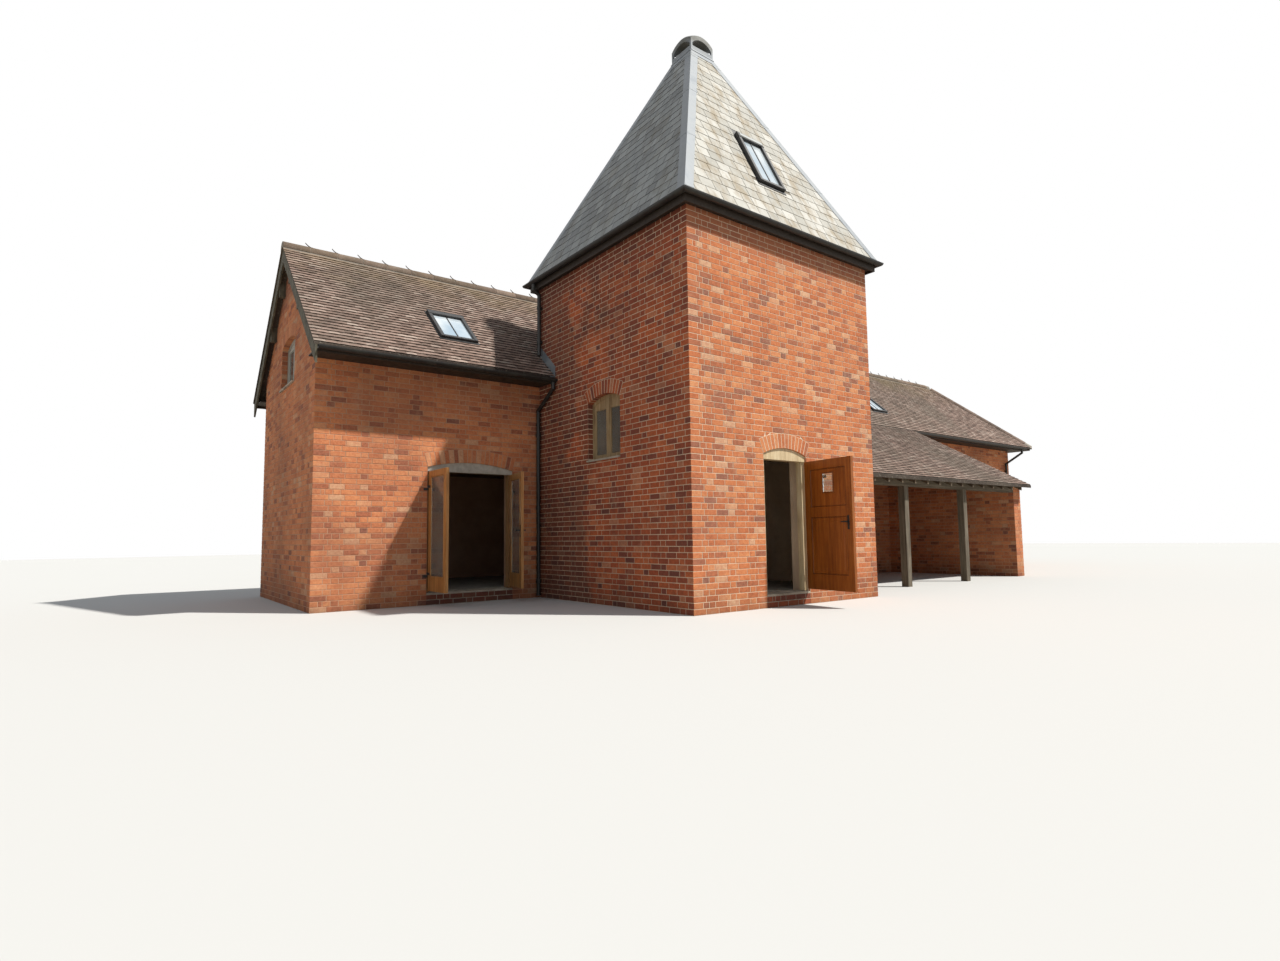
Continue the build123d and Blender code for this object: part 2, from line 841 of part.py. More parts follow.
def eaves_boards(side, west, east):
    """Soffit from the wall to the rafter ends, with a fascia in front of it."""
    wall_face = range_centre + side * range_depth / 2
    rafter_face = range_centre + side * range_rafter_end
    fascia_face = range_centre + side * range_fascia_outer
    level_board(west, east, wall_face, rafter_face, range_soffit_height - soffit_board, range_soffit_height)
    level_board(west, east, rafter_face, fascia_face, range_fascia_bottom, range_fascia_top)


with BuildPart() as range_fascias:
    eaves_boards(-1, slab_west, -kiln_half)
    eaves_boards(-1, porch_east, range_east)
    eaves_boards(1, slab_west, range_east)
    level_board(
        range_east + eaves_joint,
        hip_rafter_end,
        range_centre - range_rafter_end,
        range_centre + range_rafter_end,
        range_soffit_height - soffit_board,
        range_soffit_height,
    )
finish(range_fascias, "range_fascias")


def straight_gutter(side, west, east):
    face = range_centre + side * range_fascia_outer
    plane = Plane(origin=(west, face, 0), x_dir=(0, side, 0), z_dir=(side, 0, 0))
    with BuildSketch(plane) as profile:
        gutter_outline(0, range_gutter_rim)
    extrude(profile.sketch, amount=side * (east - west))


with BuildPart() as range_gutters:
    straight_gutter(-1, slab_west, -kiln_half)
    straight_gutter(-1, porch_east, range_east)
    straight_gutter(1, slab_west, range_east)
finish(range_gutters, "range_gutters")


# Downpipes: each drops from a gutter, bends back under the eaves and runs down the wall
def downpipe(x, y, facing, reach, top, foot):
    """Pipe at a place on a wall's face. reach is how far out its gutter hangs."""
    out = direction(facing)
    side_on = Plane(origin=(x, y, 0), x_dir=out, z_dir=(out[1], -out[0], 0))
    stand = pipe_radius + pipe_wall_gap
    neck_top = top - pipe_neck_drop
    neck_bottom = neck_top - pipe_neck_fall * (reach - stand)
    with BuildLine(side_on) as route:
        Polyline((reach, top), (reach, neck_top), (stand, neck_bottom), (stand, foot))
    with BuildSketch(Plane(origin=side_on.from_local_coords((reach, top, 0)), z_dir=(0, 0, -1))) as bore:
        Circle(pipe_radius)
    sweep(bore.sketch, path=route.wires()[0], transition=Transition.RIGHT)
    for height in (foot + pipe_bracket_inset, neck_bottom - pipe_bracket_inset):
        level = Plane(origin=(x, y, height), x_dir=out, z_dir=(0, 0, 1))
        with BuildSketch(level) as profile:
            with Locations((pipe_wall_gap / 2, 0)):
                Rectangle(pipe_wall_gap, pipe_radius)
        extrude(profile.sketch, amount=pipe_bracket_height / 2, both=True)


range_gutter_reach = range_fascia_outer + gutter_radius - range_depth / 2
range_gutter_bottom = range_gutter_rim - gutter_radius
kiln_pipe_place = kiln_half - kiln_pipe_inset
pipe_beside_kiln = -kiln_half - pipe_corner_gap
kiln_pipe_foot = range_eaves_height + (kiln_pipe_place + pipe_radius - porch_top_edge) * range_slope

with BuildPart() as downpipes:
    downpipe(
        -kiln_half,
        kiln_pipe_place,
        180,
        fascia_outer + gutter_radius - kiln_half,
        kiln_gutter_rim - gutter_radius,
        kiln_pipe_foot + pipe_foot_gap,
    )
    downpipe(pipe_beside_kiln, range_front, -90, range_gutter_reach, range_gutter_bottom, pipe_foot_gap)
    for y, facing in ((range_front, -90), (range_back, 90)):
        downpipe(
            range_east - pipe_end_inset, y, facing, range_gutter_reach, range_gutter_bottom, pipe_foot_gap
        )
    downpipe(
        range_west + pipe_end_inset, range_back, 90, range_gutter_reach, range_gutter_bottom, pipe_foot_gap
    )
finish(downpipes, "downpipes")

# Lead flashings where the range and porch roofs meet the kiln
def side_flashing(side, front, back, front_height, back_height):
    """Upstand against a side wall of the kiln, and a lap on the roof beside it, along one slope."""
    stretch = math.hypot(1, (back_height - front_height) / (back - front))
    for width, depth in ((flashing_lead, flashing_upstand), (flashing_lap, flashing_lead)):
        rise = depth * stretch
        with BuildSketch(Plane.YZ.offset(side * kiln_half)) as profile:
            outline(
                [
                    (front, front_height),
                    (back, back_height),
                    (back, back_height + rise),
                    (front, front_height + rise),
                ]
            )
        extrude(profile.sketch, amount=side * width)


roof_at_kiln_back = range_eaves_height + (kiln_half - porch_top_edge) * range_slope
lap_back = kiln_half + flashing_lap
roof_at_lap = roof_at_kiln_back + flashing_lap * range_slope
lap_rise = flashing_lead * math.hypot(1, range_slope)

with BuildPart() as lead_flashings:
    for side in (-1, 1):
        side_flashing(side, porch_top_edge, kiln_half, range_eaves_height, roof_at_kiln_back)
    side_flashing(1, porch_eaves, porch_top_edge, porch_eaves_height, range_eaves_height)
    with BuildSketch(Plane.YZ.offset(-kiln_half)) as profile:
        outline(
            [
                (kiln_half, roof_at_kiln_back),
                (lap_back, roof_at_lap),
                (lap_back, roof_at_lap + lap_rise),
                (kiln_half + flashing_lead, roof_at_kiln_back + flashing_lead * range_slope + lap_rise),
                (kiln_half + flashing_lead, roof_at_kiln_back + flashing_upstand),
                (kiln_half, roof_at_kiln_back + flashing_upstand),
            ]
        )
    extrude(profile.sketch, amount=kiln_size)
finish(lead_flashings, "lead_flashings")

# Lean-to porch: tiled roof, beam, posts and the brick end wall
porch_bottom_edge = porch_eaves_height - porch_drop
porch_back = porch_eaves + (range_soffit_height - porch_bottom_edge) / porch_slope


def porch_underside(y):
    return porch_bottom_edge + (y - porch_eaves) * porch_slope


with BuildPart() as porch_roof:
    with BuildSketch(Plane.YZ.offset(porch_west)):
        outline(
            [
                (porch_eaves, porch_eaves_height),
                *[(range_centre - distance, height) for distance, height in tile_lip],
                (range_centre - range_rafter_end, range_soffit_height),
                (porch_back, range_soffit_height),
                (porch_eaves, porch_bottom_edge),
            ]
        )
    extrude(amount=porch_length)
finish(porch_roof, "porch_roof")

with BuildPart() as porch_end_wall:
    with BuildSketch(Plane.YZ.offset(porch_wall_inner)):
        outline(
            [
                (porch_wall_front, 0),
                (range_front, 0),
                (range_front, main_underside(range_front)),
                (range_centre - rafter_foot, range_soffit_height),
                (porch_back, range_soffit_height),
                (porch_wall_front, porch_underside(porch_wall_front)),
            ]
        )
    extrude(amount=range_wall)
finish(porch_end_wall, "porch_end_wall")

porch_span = porch_wall_inner - porch_west
rafter_count = round((porch_span - porch_rafter_width) / porch_rafter_pitch) + 1
rafter_step = (porch_span - porch_rafter_width) / (rafter_count - 1)
rafter_front = porch_eaves + porch_rafter_set_back
with BuildPart() as porch_rafters:
    for i in range(rafter_count):
        with BuildSketch(Plane.YZ.offset(porch_west + i * rafter_step)) as profile:
            outline(
                [
                    (rafter_front, porch_underside(rafter_front)),
                    (porch_back, range_soffit_height),
                    (porch_back + porch_rafter_drop / porch_slope, range_soffit_height),
                    (rafter_front, porch_underside(rafter_front) - porch_rafter_drop),
                ]
            )
        extrude(profile.sketch, amount=porch_rafter_width)
finish(porch_rafters, "porch_rafters")

beam_front_top = porch_underside(porch_wall_front) - porch_rafter_drop
beam_back_top = porch_underside(porch_wall_front + porch_beam) - porch_rafter_drop
beam_bottom = beam_front_top - porch_beam
with BuildPart() as porch_beam_timber:
    with BuildSketch(Plane.YZ.offset(porch_west)):
        outline(
            [
                (porch_wall_front, beam_bottom),
                (porch_wall_front + porch_beam, beam_bottom),
                (porch_wall_front + porch_beam, beam_back_top),
                (porch_wall_front, beam_front_top),
            ]
        )
    extrude(amount=porch_span)
finish(porch_beam_timber, "porch_beam")

post_bay = porch_span / (porch_post_count + 1)
with BuildPart() as porch_posts:
    with BuildSketch():
        for i in range(porch_post_count):
            with Locations((porch_west + (i + 1) * post_bay, porch_wall_front + porch_beam / 2)):
                Rectangle(porch_post, porch_post)
    extrude(amount=beam_bottom)
finish(porch_posts, "porch_posts")


# Windows: a frame with two lights, set back in its brick opening
def light_outlines(width, sill, crown, shrink):
    """The two glazed lights of a window, each shrunk all round by shrink."""
    grow = frame_face + shrink
    radius = arch_radius(width) - grow
    arched_outline(width - 2 * grow, sill + grow, crown - grow, radius)
    with Locations((0, (sill + crown) / 2)):
        Rectangle(mullion_face + 2 * shrink, crown - sill, mode=Mode.SUBTRACT)


def window_frame(plane, width, sill, crown):
    with BuildSketch(plane.offset(-window_reveal)) as profile:
        arched_outline(width, sill, crown, arch_radius(width))
    extrude(profile.sketch, amount=-frame_depth)
    with BuildSketch(plane.offset(-window_reveal)) as profile:
        light_outlines(width, sill, crown, 0)
    extrude(profile.sketch, amount=-frame_depth, mode=Mode.SUBTRACT)


def window_glass(plane, width, sill, crown):
    with BuildSketch(plane.offset(-window_reveal - (frame_depth - glass_thickness) / 2)) as profile:
        light_outlines(width, sill, crown, glass_fit)
    extrude(profile.sketch, amount=-glass_thickness)


def window_sill(plane, width, sill):
    """Weathered sill on the brickwork in front of a frame, with its nose past the wall's face."""
    end_on = Plane(
        origin=plane.origin - plane.x_dir * (width / 2 - glass_fit), x_dir=plane.z_dir, z_dir=-plane.x_dir
    )
    with BuildSketch(end_on) as profile:
        outline(
            [
                (-window_reveal, sill),
                (sill_projection, sill),
                (sill_projection, sill + sill_nose),
                (-window_reveal, sill + sill_depth),
            ]
        )
    extrude(profile.sketch, amount=2 * glass_fit - width)


window_groups = [
    ("kiln_window", [kiln_window_plane], kiln_window_width, kiln_window_sill, kiln_window_crown),
    ("gable_window", [gable_plane], gable_window_width, gable_window_sill, gable_window_crown),
    (
        "range_windows",
        [south_window_plane, *north_window_planes],
        range_window_width,
        range_window_sill,
        range_window_crown,
    ),
]

for name, planes, width, sill, crown in window_groups:
    with BuildPart() as frames:
        for plane in planes:
            window_frame(plane, width, sill, crown)
    finish(frames, f"{name}_frame")

with BuildPart() as window_sills:
    for name, planes, width, sill, crown in window_groups:
        for plane in planes:
            window_sill(plane, width, sill)
finish(window_sills, "window_sills")

with BuildPart() as window_panes:
    for name, planes, width, sill, crown in window_groups:
        for plane in planes:
            window_glass(plane, width, sill, crown)
finish(window_panes, "window_glass")


# Roof windows
def roof_window_frame_ring(plane, width, low, high, depth):
    with BuildSketch(plane.offset(roof_window_stand)) as profile:
        with Locations((0, (low + high) / 2)):
            Rectangle(width, high - low)
            Rectangle(width - 2 * roof_window_frame, high - low - 2 * roof_window_frame, mode=Mode.SUBTRACT)
    extrude(profile.sketch, amount=-roof_window_stand - depth)


def roof_window_pane(plane, width, low, high):
    inset = 2 * (roof_window_frame + glass_fit)
    with BuildSketch(plane.offset(roof_window_stand - roof_glass_set_back)) as profile:
        with Locations((0, (low + high) / 2)):
            Rectangle(width - inset, high - low - inset)
    extrude(profile.sketch, amount=-glass_thickness)


roof_windows = [
    (
        kiln_slope_plane,
        kiln_roof_window_width,
        kiln_roof_window_low,
        kiln_roof_window_high,
        kiln_roof_depth,
    ),
    *[
        (
            range_slope_plane(x, -1),
            range_roof_window_width,
            range_roof_window_low,
            range_roof_window_high,
            range_roof_depth,
        )
        for x in range_roof_window_places
    ],
]

with BuildPart() as roof_window_rings:
    for plane, width, low, high, depth in roof_windows:
        roof_window_frame_ring(plane, width, low, high, depth)
finish(roof_window_rings, "roof_window_frames")

with BuildPart() as roof_window_panes:
    for plane, width, low, high, depth in roof_windows:
        roof_window_pane(plane, width, low, high)
finish(roof_window_panes, "roof_window_glass")

# Door frames: jambs behind the leaves, and an arched head over them
leaf_back = leaf_thickness + leaf_stop_clearance
head_bottom = door_leaf_top + door_head_clearance


def door_frame(plane, width, crown):
    radius = arch_radius(width)
    with BuildSketch(plane.offset(-leaf_back)) as profile:
        for side in (-1, 1):
            with Locations((side * (width - door_frame_face) / 2, (floor_level + head_bottom) / 2)):
                Rectangle(door_frame_face, head_bottom - floor_level)
    extrude(profile.sketch, amount=-door_frame_depth)
    with BuildSketch(plane.offset(-door_head_set_back)) as profile:
        arched_outline(width, head_bottom, crown, radius)
    extrude(profile.sketch, amount=-(leaf_back + door_frame_depth - door_head_set_back))


def threshold(plane, width, wall):
    with BuildSketch(plane) as profile:
        with Locations((0, (floor_level - threshold_drop) / 2)):
            Rectangle(width, floor_level - threshold_drop)
    extrude(profile.sketch, amount=-wall)


with BuildPart() as kiln_door_frame:
    door_frame(kiln_door_plane, kiln_door_width, kiln_door_crown)
finish(kiln_door_frame, "kiln_door_frame")

with BuildPart() as french_door_frame:
    door_frame(french_plane, french_door_width, french_door_crown)
finish(french_door_frame, "french_door_frame")

with BuildPart() as door_steps:
    threshold(kiln_door_plane, kiln_door_width, kiln_wall)
    threshold(french_plane, french_door_width, range_wall)
finish(door_steps, "door_steps")


# Door leaves. side is 1 where the leaf hangs on the right jamb seen from outside, and -1 on the left.
def hinge_plane(wall, side, width, opened):
    """Level plane on a leaf's hinge axis: local x runs across the leaf, which is turned open."""
    origin = wall.origin + wall.x_dir * side * (width / 2 - hinge_inset) + wall.z_dir * leaf_gap
    closed = wall.x_dir * -side
    return Plane(origin=origin, x_dir=closed.rotate(Axis.Z, side * opened), z_dir=(0, 0, 1))


def leaf_face(hinge, side):
    """Outer face of a leaf, with local y up and local x running away from its far edge."""
    outward = hinge.y_dir * side
    return Plane(origin=hinge.origin - outward * leaf_gap, x_dir=hinge.x_dir * -side, z_dir=outward)


leaf_bottom = floor_level + leaf_floor_clearance
leaf_height = door_leaf_top - leaf_bottom


def leaf_rectangle(side, near, far_edge, bottom, top, mode=Mode.ADD):
    """Rectangle on a leaf: near and far_edge are distances from the hinge, heights are from its foot."""
    with Locations((-side * (near + far_edge) / 2, leaf_bottom + (bottom + top) / 2)):
        Rectangle(far_edge - near, top - bottom, mode=mode)


def leaf_eyes(hinge, side, strap_length):
    """Straps on the leaf's outer face that end in eyes round the hinge pins."""
    for height in (hinge_low, hinge_high):
        level = hinge.offset(leaf_bottom + height + hinge_running_clearance)
        with BuildSketch(level) as profile:
            Circle(hinge_knuckle_radius)
            with Locations((strap_length / 2, -side * (leaf_gap - hinge_strap / 2))):
                Rectangle(strap_length, hinge_strap)
            Circle(hinge_pin_radius + hinge_running_clearance, mode=Mode.SUBTRACT)
        extrude(profile.sketch, amount=hinge_knuckle_height)


def wall_pins(hinge, wall, side):
    """Plates on the wall with a knuckle and a pin that stands up through each eye."""
    for height in (hinge_low, hinge_high):
        level = Plane(
            origin=hinge.origin + Vector(0, 0, leaf_bottom + height - hinge_knuckle_height),
            x_dir=wall.x_dir * side,
            z_dir=(0, 0, 1),
        )
        with BuildSketch(level) as profile:
            Circle(hinge_knuckle_radius)
            with Locations((hinge_plate_length / 2, side * (leaf_gap - hinge_strap / 2))):
                Rectangle(hinge_plate_length, hinge_strap)
        extrude(profile.sketch, amount=hinge_knuckle_height)
        with BuildSketch(level.offset(hinge_knuckle_height)) as profile:
            Circle(hinge_pin_radius)
        extrude(profile.sketch, amount=hinge_knuckle_height)


def panelled_leaf(face, side, width):
    """Boarded leaf with two recessed panels and a small light."""
    with BuildSketch(face) as profile:
        leaf_rectangle(side, leaf_gap, leaf_gap + width, 0, leaf_height)
    extrude(profile.sketch, amount=-leaf_thickness)
    panels = (
        (leaf_bottom_rail, leaf_mid_rail_bottom),
        (leaf_mid_rail_bottom + leaf_mid_rail, leaf_height - leaf_top_rail),
    )
    for depth in (0, panel_recess - leaf_thickness):
        with BuildSketch(face.offset(depth)) as profile:
            for low, high in panels:
                leaf_rectangle(side, leaf_gap + leaf_stile, leaf_gap + width - leaf_stile, low, high)
        extrude(profile.sketch, amount=-panel_recess, mode=Mode.SUBTRACT)
    with BuildSketch(face) as profile:
        door_light(side, width, 0)
    extrude(profile.sketch, amount=-leaf_thickness, mode=Mode.SUBTRACT)


def door_light(side, width, shrink):
    middle = leaf_gap + width / 2
    half = door_light_width / 2 - shrink
    leaf_rectangle(side, middle - half, middle + half, door_light_bottom + shrink, door_light_top - shrink)


def glazed_leaf(face, side, width):
    with BuildSketch(face) as profile:
        leaf_rectangle(side, leaf_gap, leaf_gap + width, 0, leaf_height)
        french_light(side, width, 0, Mode.SUBTRACT)
    extrude(profile.sketch, amount=-leaf_thickness)


def french_light(side, width, shrink, mode=Mode.ADD):
    near = leaf_gap + french_stile + shrink
    far_edge = leaf_gap + width - french_stile - shrink
    bottom = leaf_bottom_rail + shrink
    leaf_rectangle(side, near, far_edge, bottom, leaf_height - french_stile - shrink, mode=mode)


def pane_plane(face):
    return face.offset(-(leaf_thickness - glass_thickness) / 2)


kiln_leaf_width = kiln_door_width - 2 * leaf_gap - hinge_inset
kiln_hinge = hinge_plane(kiln_door_plane, 1, kiln_door_width, kiln_door_opened)
kiln_leaf_face = leaf_face(kiln_hinge, 1)

with BuildPart() as kiln_door:
    panelled_leaf(kiln_leaf_face, 1, kiln_leaf_width)
    leaf_eyes(kiln_hinge, 1, kiln_strap_length)
finish(kiln_door, "kiln_door")

with BuildPart() as kiln_door_glass:
    with BuildSketch(pane_plane(kiln_leaf_face)):
        door_light(1, kiln_leaf_width, glass_fit)
    extrude(amount=-glass_thickness)
finish(kiln_door_glass, "kiln_door_glass")

french_leaf_width = (french_door_width - 2 * (leaf_gap + hinge_inset) - meeting_gap) / 2
french_leaves = [
    ("left", -1, hinge_plane(french_plane, -1, french_door_width, french_left_opened)),
    ("right", 1, hinge_plane(french_plane, 1, french_door_width, french_right_opened)),
]

for name, side, hinge in french_leaves:
    with BuildPart() as french_leaf:
        glazed_leaf(leaf_face(hinge, side), side, french_leaf_width)
        leaf_eyes(hinge, side, french_strap_length)
    finish(french_leaf, f"french_door_{name}")
    with BuildPart() as french_pane:
        with BuildSketch(pane_plane(leaf_face(hinge, side))):
            french_light(side, french_leaf_width, glass_fit)
        extrude(amount=-glass_thickness)
    finish(french_pane, f"french_door_{name}_glass")

with BuildPart() as door_hinge_pins:
    wall_pins(kiln_hinge, kiln_door_plane, 1)
    for name, side, hinge in french_leaves:
        wall_pins(hinge, french_plane, side)
finish(door_hinge_pins, "door_hinge_pins")
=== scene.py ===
import random
from math import asin, atan, atan2, copysign, cos, floor, hypot, pi, radians, sin, sqrt, tan, tau

import bpy
from mathutils import Matrix, Vector


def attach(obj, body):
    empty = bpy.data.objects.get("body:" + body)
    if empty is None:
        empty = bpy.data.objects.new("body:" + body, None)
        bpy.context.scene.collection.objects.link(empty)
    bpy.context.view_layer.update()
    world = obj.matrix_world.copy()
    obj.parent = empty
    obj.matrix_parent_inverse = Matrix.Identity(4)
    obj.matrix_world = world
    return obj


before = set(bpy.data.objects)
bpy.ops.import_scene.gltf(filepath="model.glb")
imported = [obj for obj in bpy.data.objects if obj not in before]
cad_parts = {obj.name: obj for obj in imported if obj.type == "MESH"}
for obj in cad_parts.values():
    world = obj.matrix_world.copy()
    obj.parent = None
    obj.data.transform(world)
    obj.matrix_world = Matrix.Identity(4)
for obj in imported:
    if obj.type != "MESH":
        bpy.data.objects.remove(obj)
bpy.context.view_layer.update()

# The camera stands south-west of the kiln at a seated person's eye height, with a wide lens.
# Metres, with the middle of the kiln's plan at the origin: +X east, +Y north, +Z up.
camera = bpy.data.objects.new("camera", bpy.data.cameras.new("camera"))
camera.data.lens = 19.389
camera.data.sensor_width = 36.0
camera.data.clip_end = 400.0
eye = Vector((-8.13483, -8.88836, 1.03596))
rightward = Vector((0.79515697, -0.60625137, -0.01358938))
upward = Vector((-0.03907763, -0.07359155, 0.99652257))
forward = Vector((0.60514324, 0.79186082, 0.0822077))
camera.matrix_world = Matrix.Translation(eye) @ Matrix((rightward, upward, -forward)).transposed().to_4x4()
scene = bpy.context.scene
scene.collection.objects.link(camera)
scene.camera = camera

# Kiln brickwork: hand-made red bricks, four courses to 330 mm, in pale lime mortar. Three stretchers to
# a header in each course, with the header over the middle stretcher below. Many headers are burnt dark.
# The walls behind are the bedding mortar, and each brick's face stands a few millimetres in front of it.
random.seed(1871)
course_height = 0.0825
half_joint = 0.00525
stretcher = 0.225
brick_proud = 0.004
brick_arris = 0.002
thinnest_course = 0.02
shortest_brick = 0.06
shortest_cut = 0.025
sill_height = 0.045
arch_rise = 0.1
arch_ring = 0.215
kiln_half = 2.05
kiln_wall_top = 5.598


class Pile:
    """Faces gathered for one piece, each with the tone of the brick, slate or tile that it is on."""

    def __init__(self):
        self.points = []
        self.faces = []
        self.tones = []

    def add(self, points, faces, tones):
        start = len(self.points)
        self.points += points
        self.faces += [tuple(start + i for i in face) for face in faces]
        self.tones += tones

    def loft(self, rings, tone=0.5, foot=False, head=True, side_tone=None):
        """Skin over rings of points, each anticlockwise as seen from beyond the last one."""
        count = len(rings[0])
        faces = []
        for low in range(0, count * (len(rings) - 1), count):
            for i in range(count):
                j = (i + 1) % count
                faces.append((low + i, low + j, low + count + j, low + count + i))
        tones = [tone if side_tone is None else side_tone] * len(faces) + [tone] * (foot + head)
        if foot:
            faces.append(tuple(reversed(range(count))))
        if head:
            faces.append(tuple(range(count * (len(rings) - 1), count * len(rings))))
        self.add([point for ring in rings for point in ring], faces, tones)

    def plate(self, place, outline, low, high):
        """Flat piece of any outline, from one height over a surface to another."""
        self.loft([[place(u, v, n) for u, v in outline] for n in (low, high)])

    def piece(self, name, material, slot, body="building"):
        mesh = bpy.data.meshes.new(name)
        mesh.from_pydata(self.points, [], self.faces)
        mesh.attributes.new("tone", "FLOAT", "FACE").data.foreach_set("value", self.tones)
        mesh.materials.append(material)
        made = bpy.data.objects.new(name, mesh)
        scene.collection.objects.link(made)
        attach(made, body)


def surface(origin, along, up):
    """Gives points on a wall or a slope: u along it, v up it and n out of it."""
    origin, along, up = Vector(origin), Vector(along), Vector(up)
    out = along.cross(up)
    return lambda u, v, n=0.0: origin + along * u + up * v + out * n


def wall_face(x, y, along_x, along_y):
    """Face of an upright wall, from the end that is on the left as seen from outside."""
    return surface((x, y, 0), (along_x, along_y, 0), (0, 0, 1))


class Opening:
    """Window or door opening with a segmental head, at u along its wall."""

    def __init__(self, u, width, bottom, crown, reveal=0.088, proud=0.003):
        self.u, self.width, self.bottom = u, width, bottom
        self.reveal, self.proud = reveal, proud
        self.radius = (width**2 / 4 + arch_rise**2) / (2 * arch_rise)
        self.centre = crown - self.radius
        self.lean = asin(width / 2 / self.radius)
        self.spring = self.centre + self.radius * cos(self.lean)

    def half_at(self, v):
        """Half the width that is left free of bricks at a height, the arch's ring included."""
        if v < self.bottom:
            return 0
        if v < self.spring:
            return self.width / 2
        ring = self.radius + arch_ring
        over = v - self.centre
        if over >= ring:
            return 0
        return min(sqrt(ring**2 - over**2), self.width / 2 + (v - self.spring) * tan(self.lean))


def courses(bottom, top):
    """Number, underside and top of each course of bricks between two heights."""
    for course in range(int(bottom / course_height), int(top / course_height) + 1):
        low = max(bottom, course * course_height + half_joint)
        high = min(top, (course + 1) * course_height - half_joint)
        if high - low >= thinnest_course:
            yield course, low, high


def bond(length, course):
    """Places of the upright joints in one course."""
    header = stretcher / 2
    places = [0]
    if course % 2:
        for brick in (header, header / 2, header, header):
            places.append(places[-1] + brick)
    brick = 0
    while places[-1] < length:
        brick += 1
        places.append(places[-1] + (header if brick % 4 == 0 else stretcher))
    worn = [place + random.uniform(-0.003, 0.003) for place in places[1:-1]]
    return [0] + worn + [length]


def brick_tone(length, burnt):
    """0 is the darkest burnt brick and 1 the palest. Headers burn more often than stretchers."""
    if random.random() < (burnt if length < 0.15 else burnt / 4):
        return random.uniform(0, 0.3)
    return min(1, max(0.1, random.gauss(0.55, 0.25)))


def lay_brick(pile, place, outline, proud, tone):
    """One brick's face with worn edges."""
    u_mid = sum(u for u, v in outline) / 4
    v_mid = sum(v for u, v in outline) / 4
    rings = []
    for inset, n in ((0, -0.002), (0, proud - brick_arris), (brick_arris, proud)):
        ring = []
        for u, v in outline:
            worn = inset * random.uniform(0.6, 1.6)
            ring.append(place(u - copysign(worn, u - u_mid), v - copysign(worn, v - v_mid), n))
        rings.append(ring)
    pile.loft(rings, tone)


def free_stretches(joints, low, high, openings):
    """Bricks of one course as (start, end, bottom, top), cut round the openings."""
    bricks = []
    for start, end in zip(joints, joints[1:]):
        parts = [(start, end, low, high)]
        for opening in openings:
            at_sill = low < opening.bottom < high
            half = opening.width / 2 if at_sill else min(opening.half_at(low), opening.half_at(high))
            if not half:
                continue
            left, right = opening.u - half, opening.u + half
            cut = []
            for a, b, bottom, top in parts:
                if b <= left or a >= right:
                    cut.append((a, b, bottom, top))
                    continue
                if a < left:
                    cut.append((a, left + half_joint, bottom, top))
                if b > right:
                    cut.append((right - half_joint, b, bottom, top))
                if at_sill and opening.bottom - low > thinnest_course:
                    cut.append((max(a, left), min(b, right), bottom, opening.bottom))
            parts = cut
        bricks += parts
    whole = []
    for a, b, bottom, top in sorted(bricks):
        joined = whole and abs(whole[-1][1] - a) < 0.001 and whole[-1][3] == top
        if joined and min(b - a, whole[-1][1] - whole[-1][0]) < shortest_brick:
            whole[-1] = (whole[-1][0], b, bottom, top)
        elif b - a > shortest_cut:
            whole.append((a, b, bottom, top))
    return whole


def lay_wall(pile, place, length, bottom, top, openings=(), laps=0, burnt=0.3, edges=None):
    """Courses of bricks on a wall's face. edges gives the wall's two sides at a height, for a gable."""
    for course, low, high in courses(bottom, top):
        corner = brick_proud if (course + laps) % 2 == 0 else -0.0005
        for a, b, foot, head in free_stretches(bond(length, course), low, high, openings):
            a = -corner if a == 0 else a + half_joint
            b = length + corner if b == length else b - half_joint
            sides = [edges(v) if edges else (-1, length + 1) for v in (foot, head)]
            outline = [
                (max(a, sides[0][0]), foot),
                (min(b, sides[0][1]), foot),
                (min(b, sides[1][1]), head),
                (max(a, sides[1][0]), head),
            ]
            for opening in openings:
                if min(opening.half_at(foot), opening.half_at(head)) == 0 or foot < opening.bottom:
                    continue
                side = copysign(1, (a + b) / 2 - opening.u)
                reach = (b - opening.u if side > 0 else opening.u - a) - 0.012
                lowest = foot
                while opening.half_at(lowest) + half_joint > reach and lowest < head:
                    lowest += 0.003
                for i, (u, v) in enumerate(outline):
                    v = lowest if i < 2 else v
                    half = opening.half_at(v) + half_joint
                    outline[i] = (opening.u + side * half if abs(u - opening.u) < half else u, v)
            tall = outline[3][1] - outline[0][1]
            wide_below, wide_above = outline[1][0] - outline[0][0], outline[2][0] - outline[3][0]
            if tall < 0.012 or wide_below < 0.01 or wide_above < 0.005:
                continue
            proud = brick_proud + random.uniform(-0.0007, 0.0005)
            lay_brick(pile, place, outline, proud, brick_tone(b - a, burnt))


def lay_reveals(pile, place, opening):
    """Brick ends that show in the sides of an opening, in front of the frame."""
    for course, low, high in courses(opening.bottom + sill_height, opening.spring):
        for side in (-1, 1):
            rings = []
            for shift, inset in ((0.002, 0), (-opening.proud + 0.001, 0), (-opening.proud, 0.001)):
                u = opening.u + side * opening.width / 2 + side * shift
                near, far = (-inset, inset - opening.reveal)[::-side]
                corners = ((low + inset, near), (low + inset, far), (high - inset, far), (high - inset, near))
                rings.append([place(u, v, n) for v, n in corners])
            pile.loft(rings, brick_tone(0.1, 0.3))


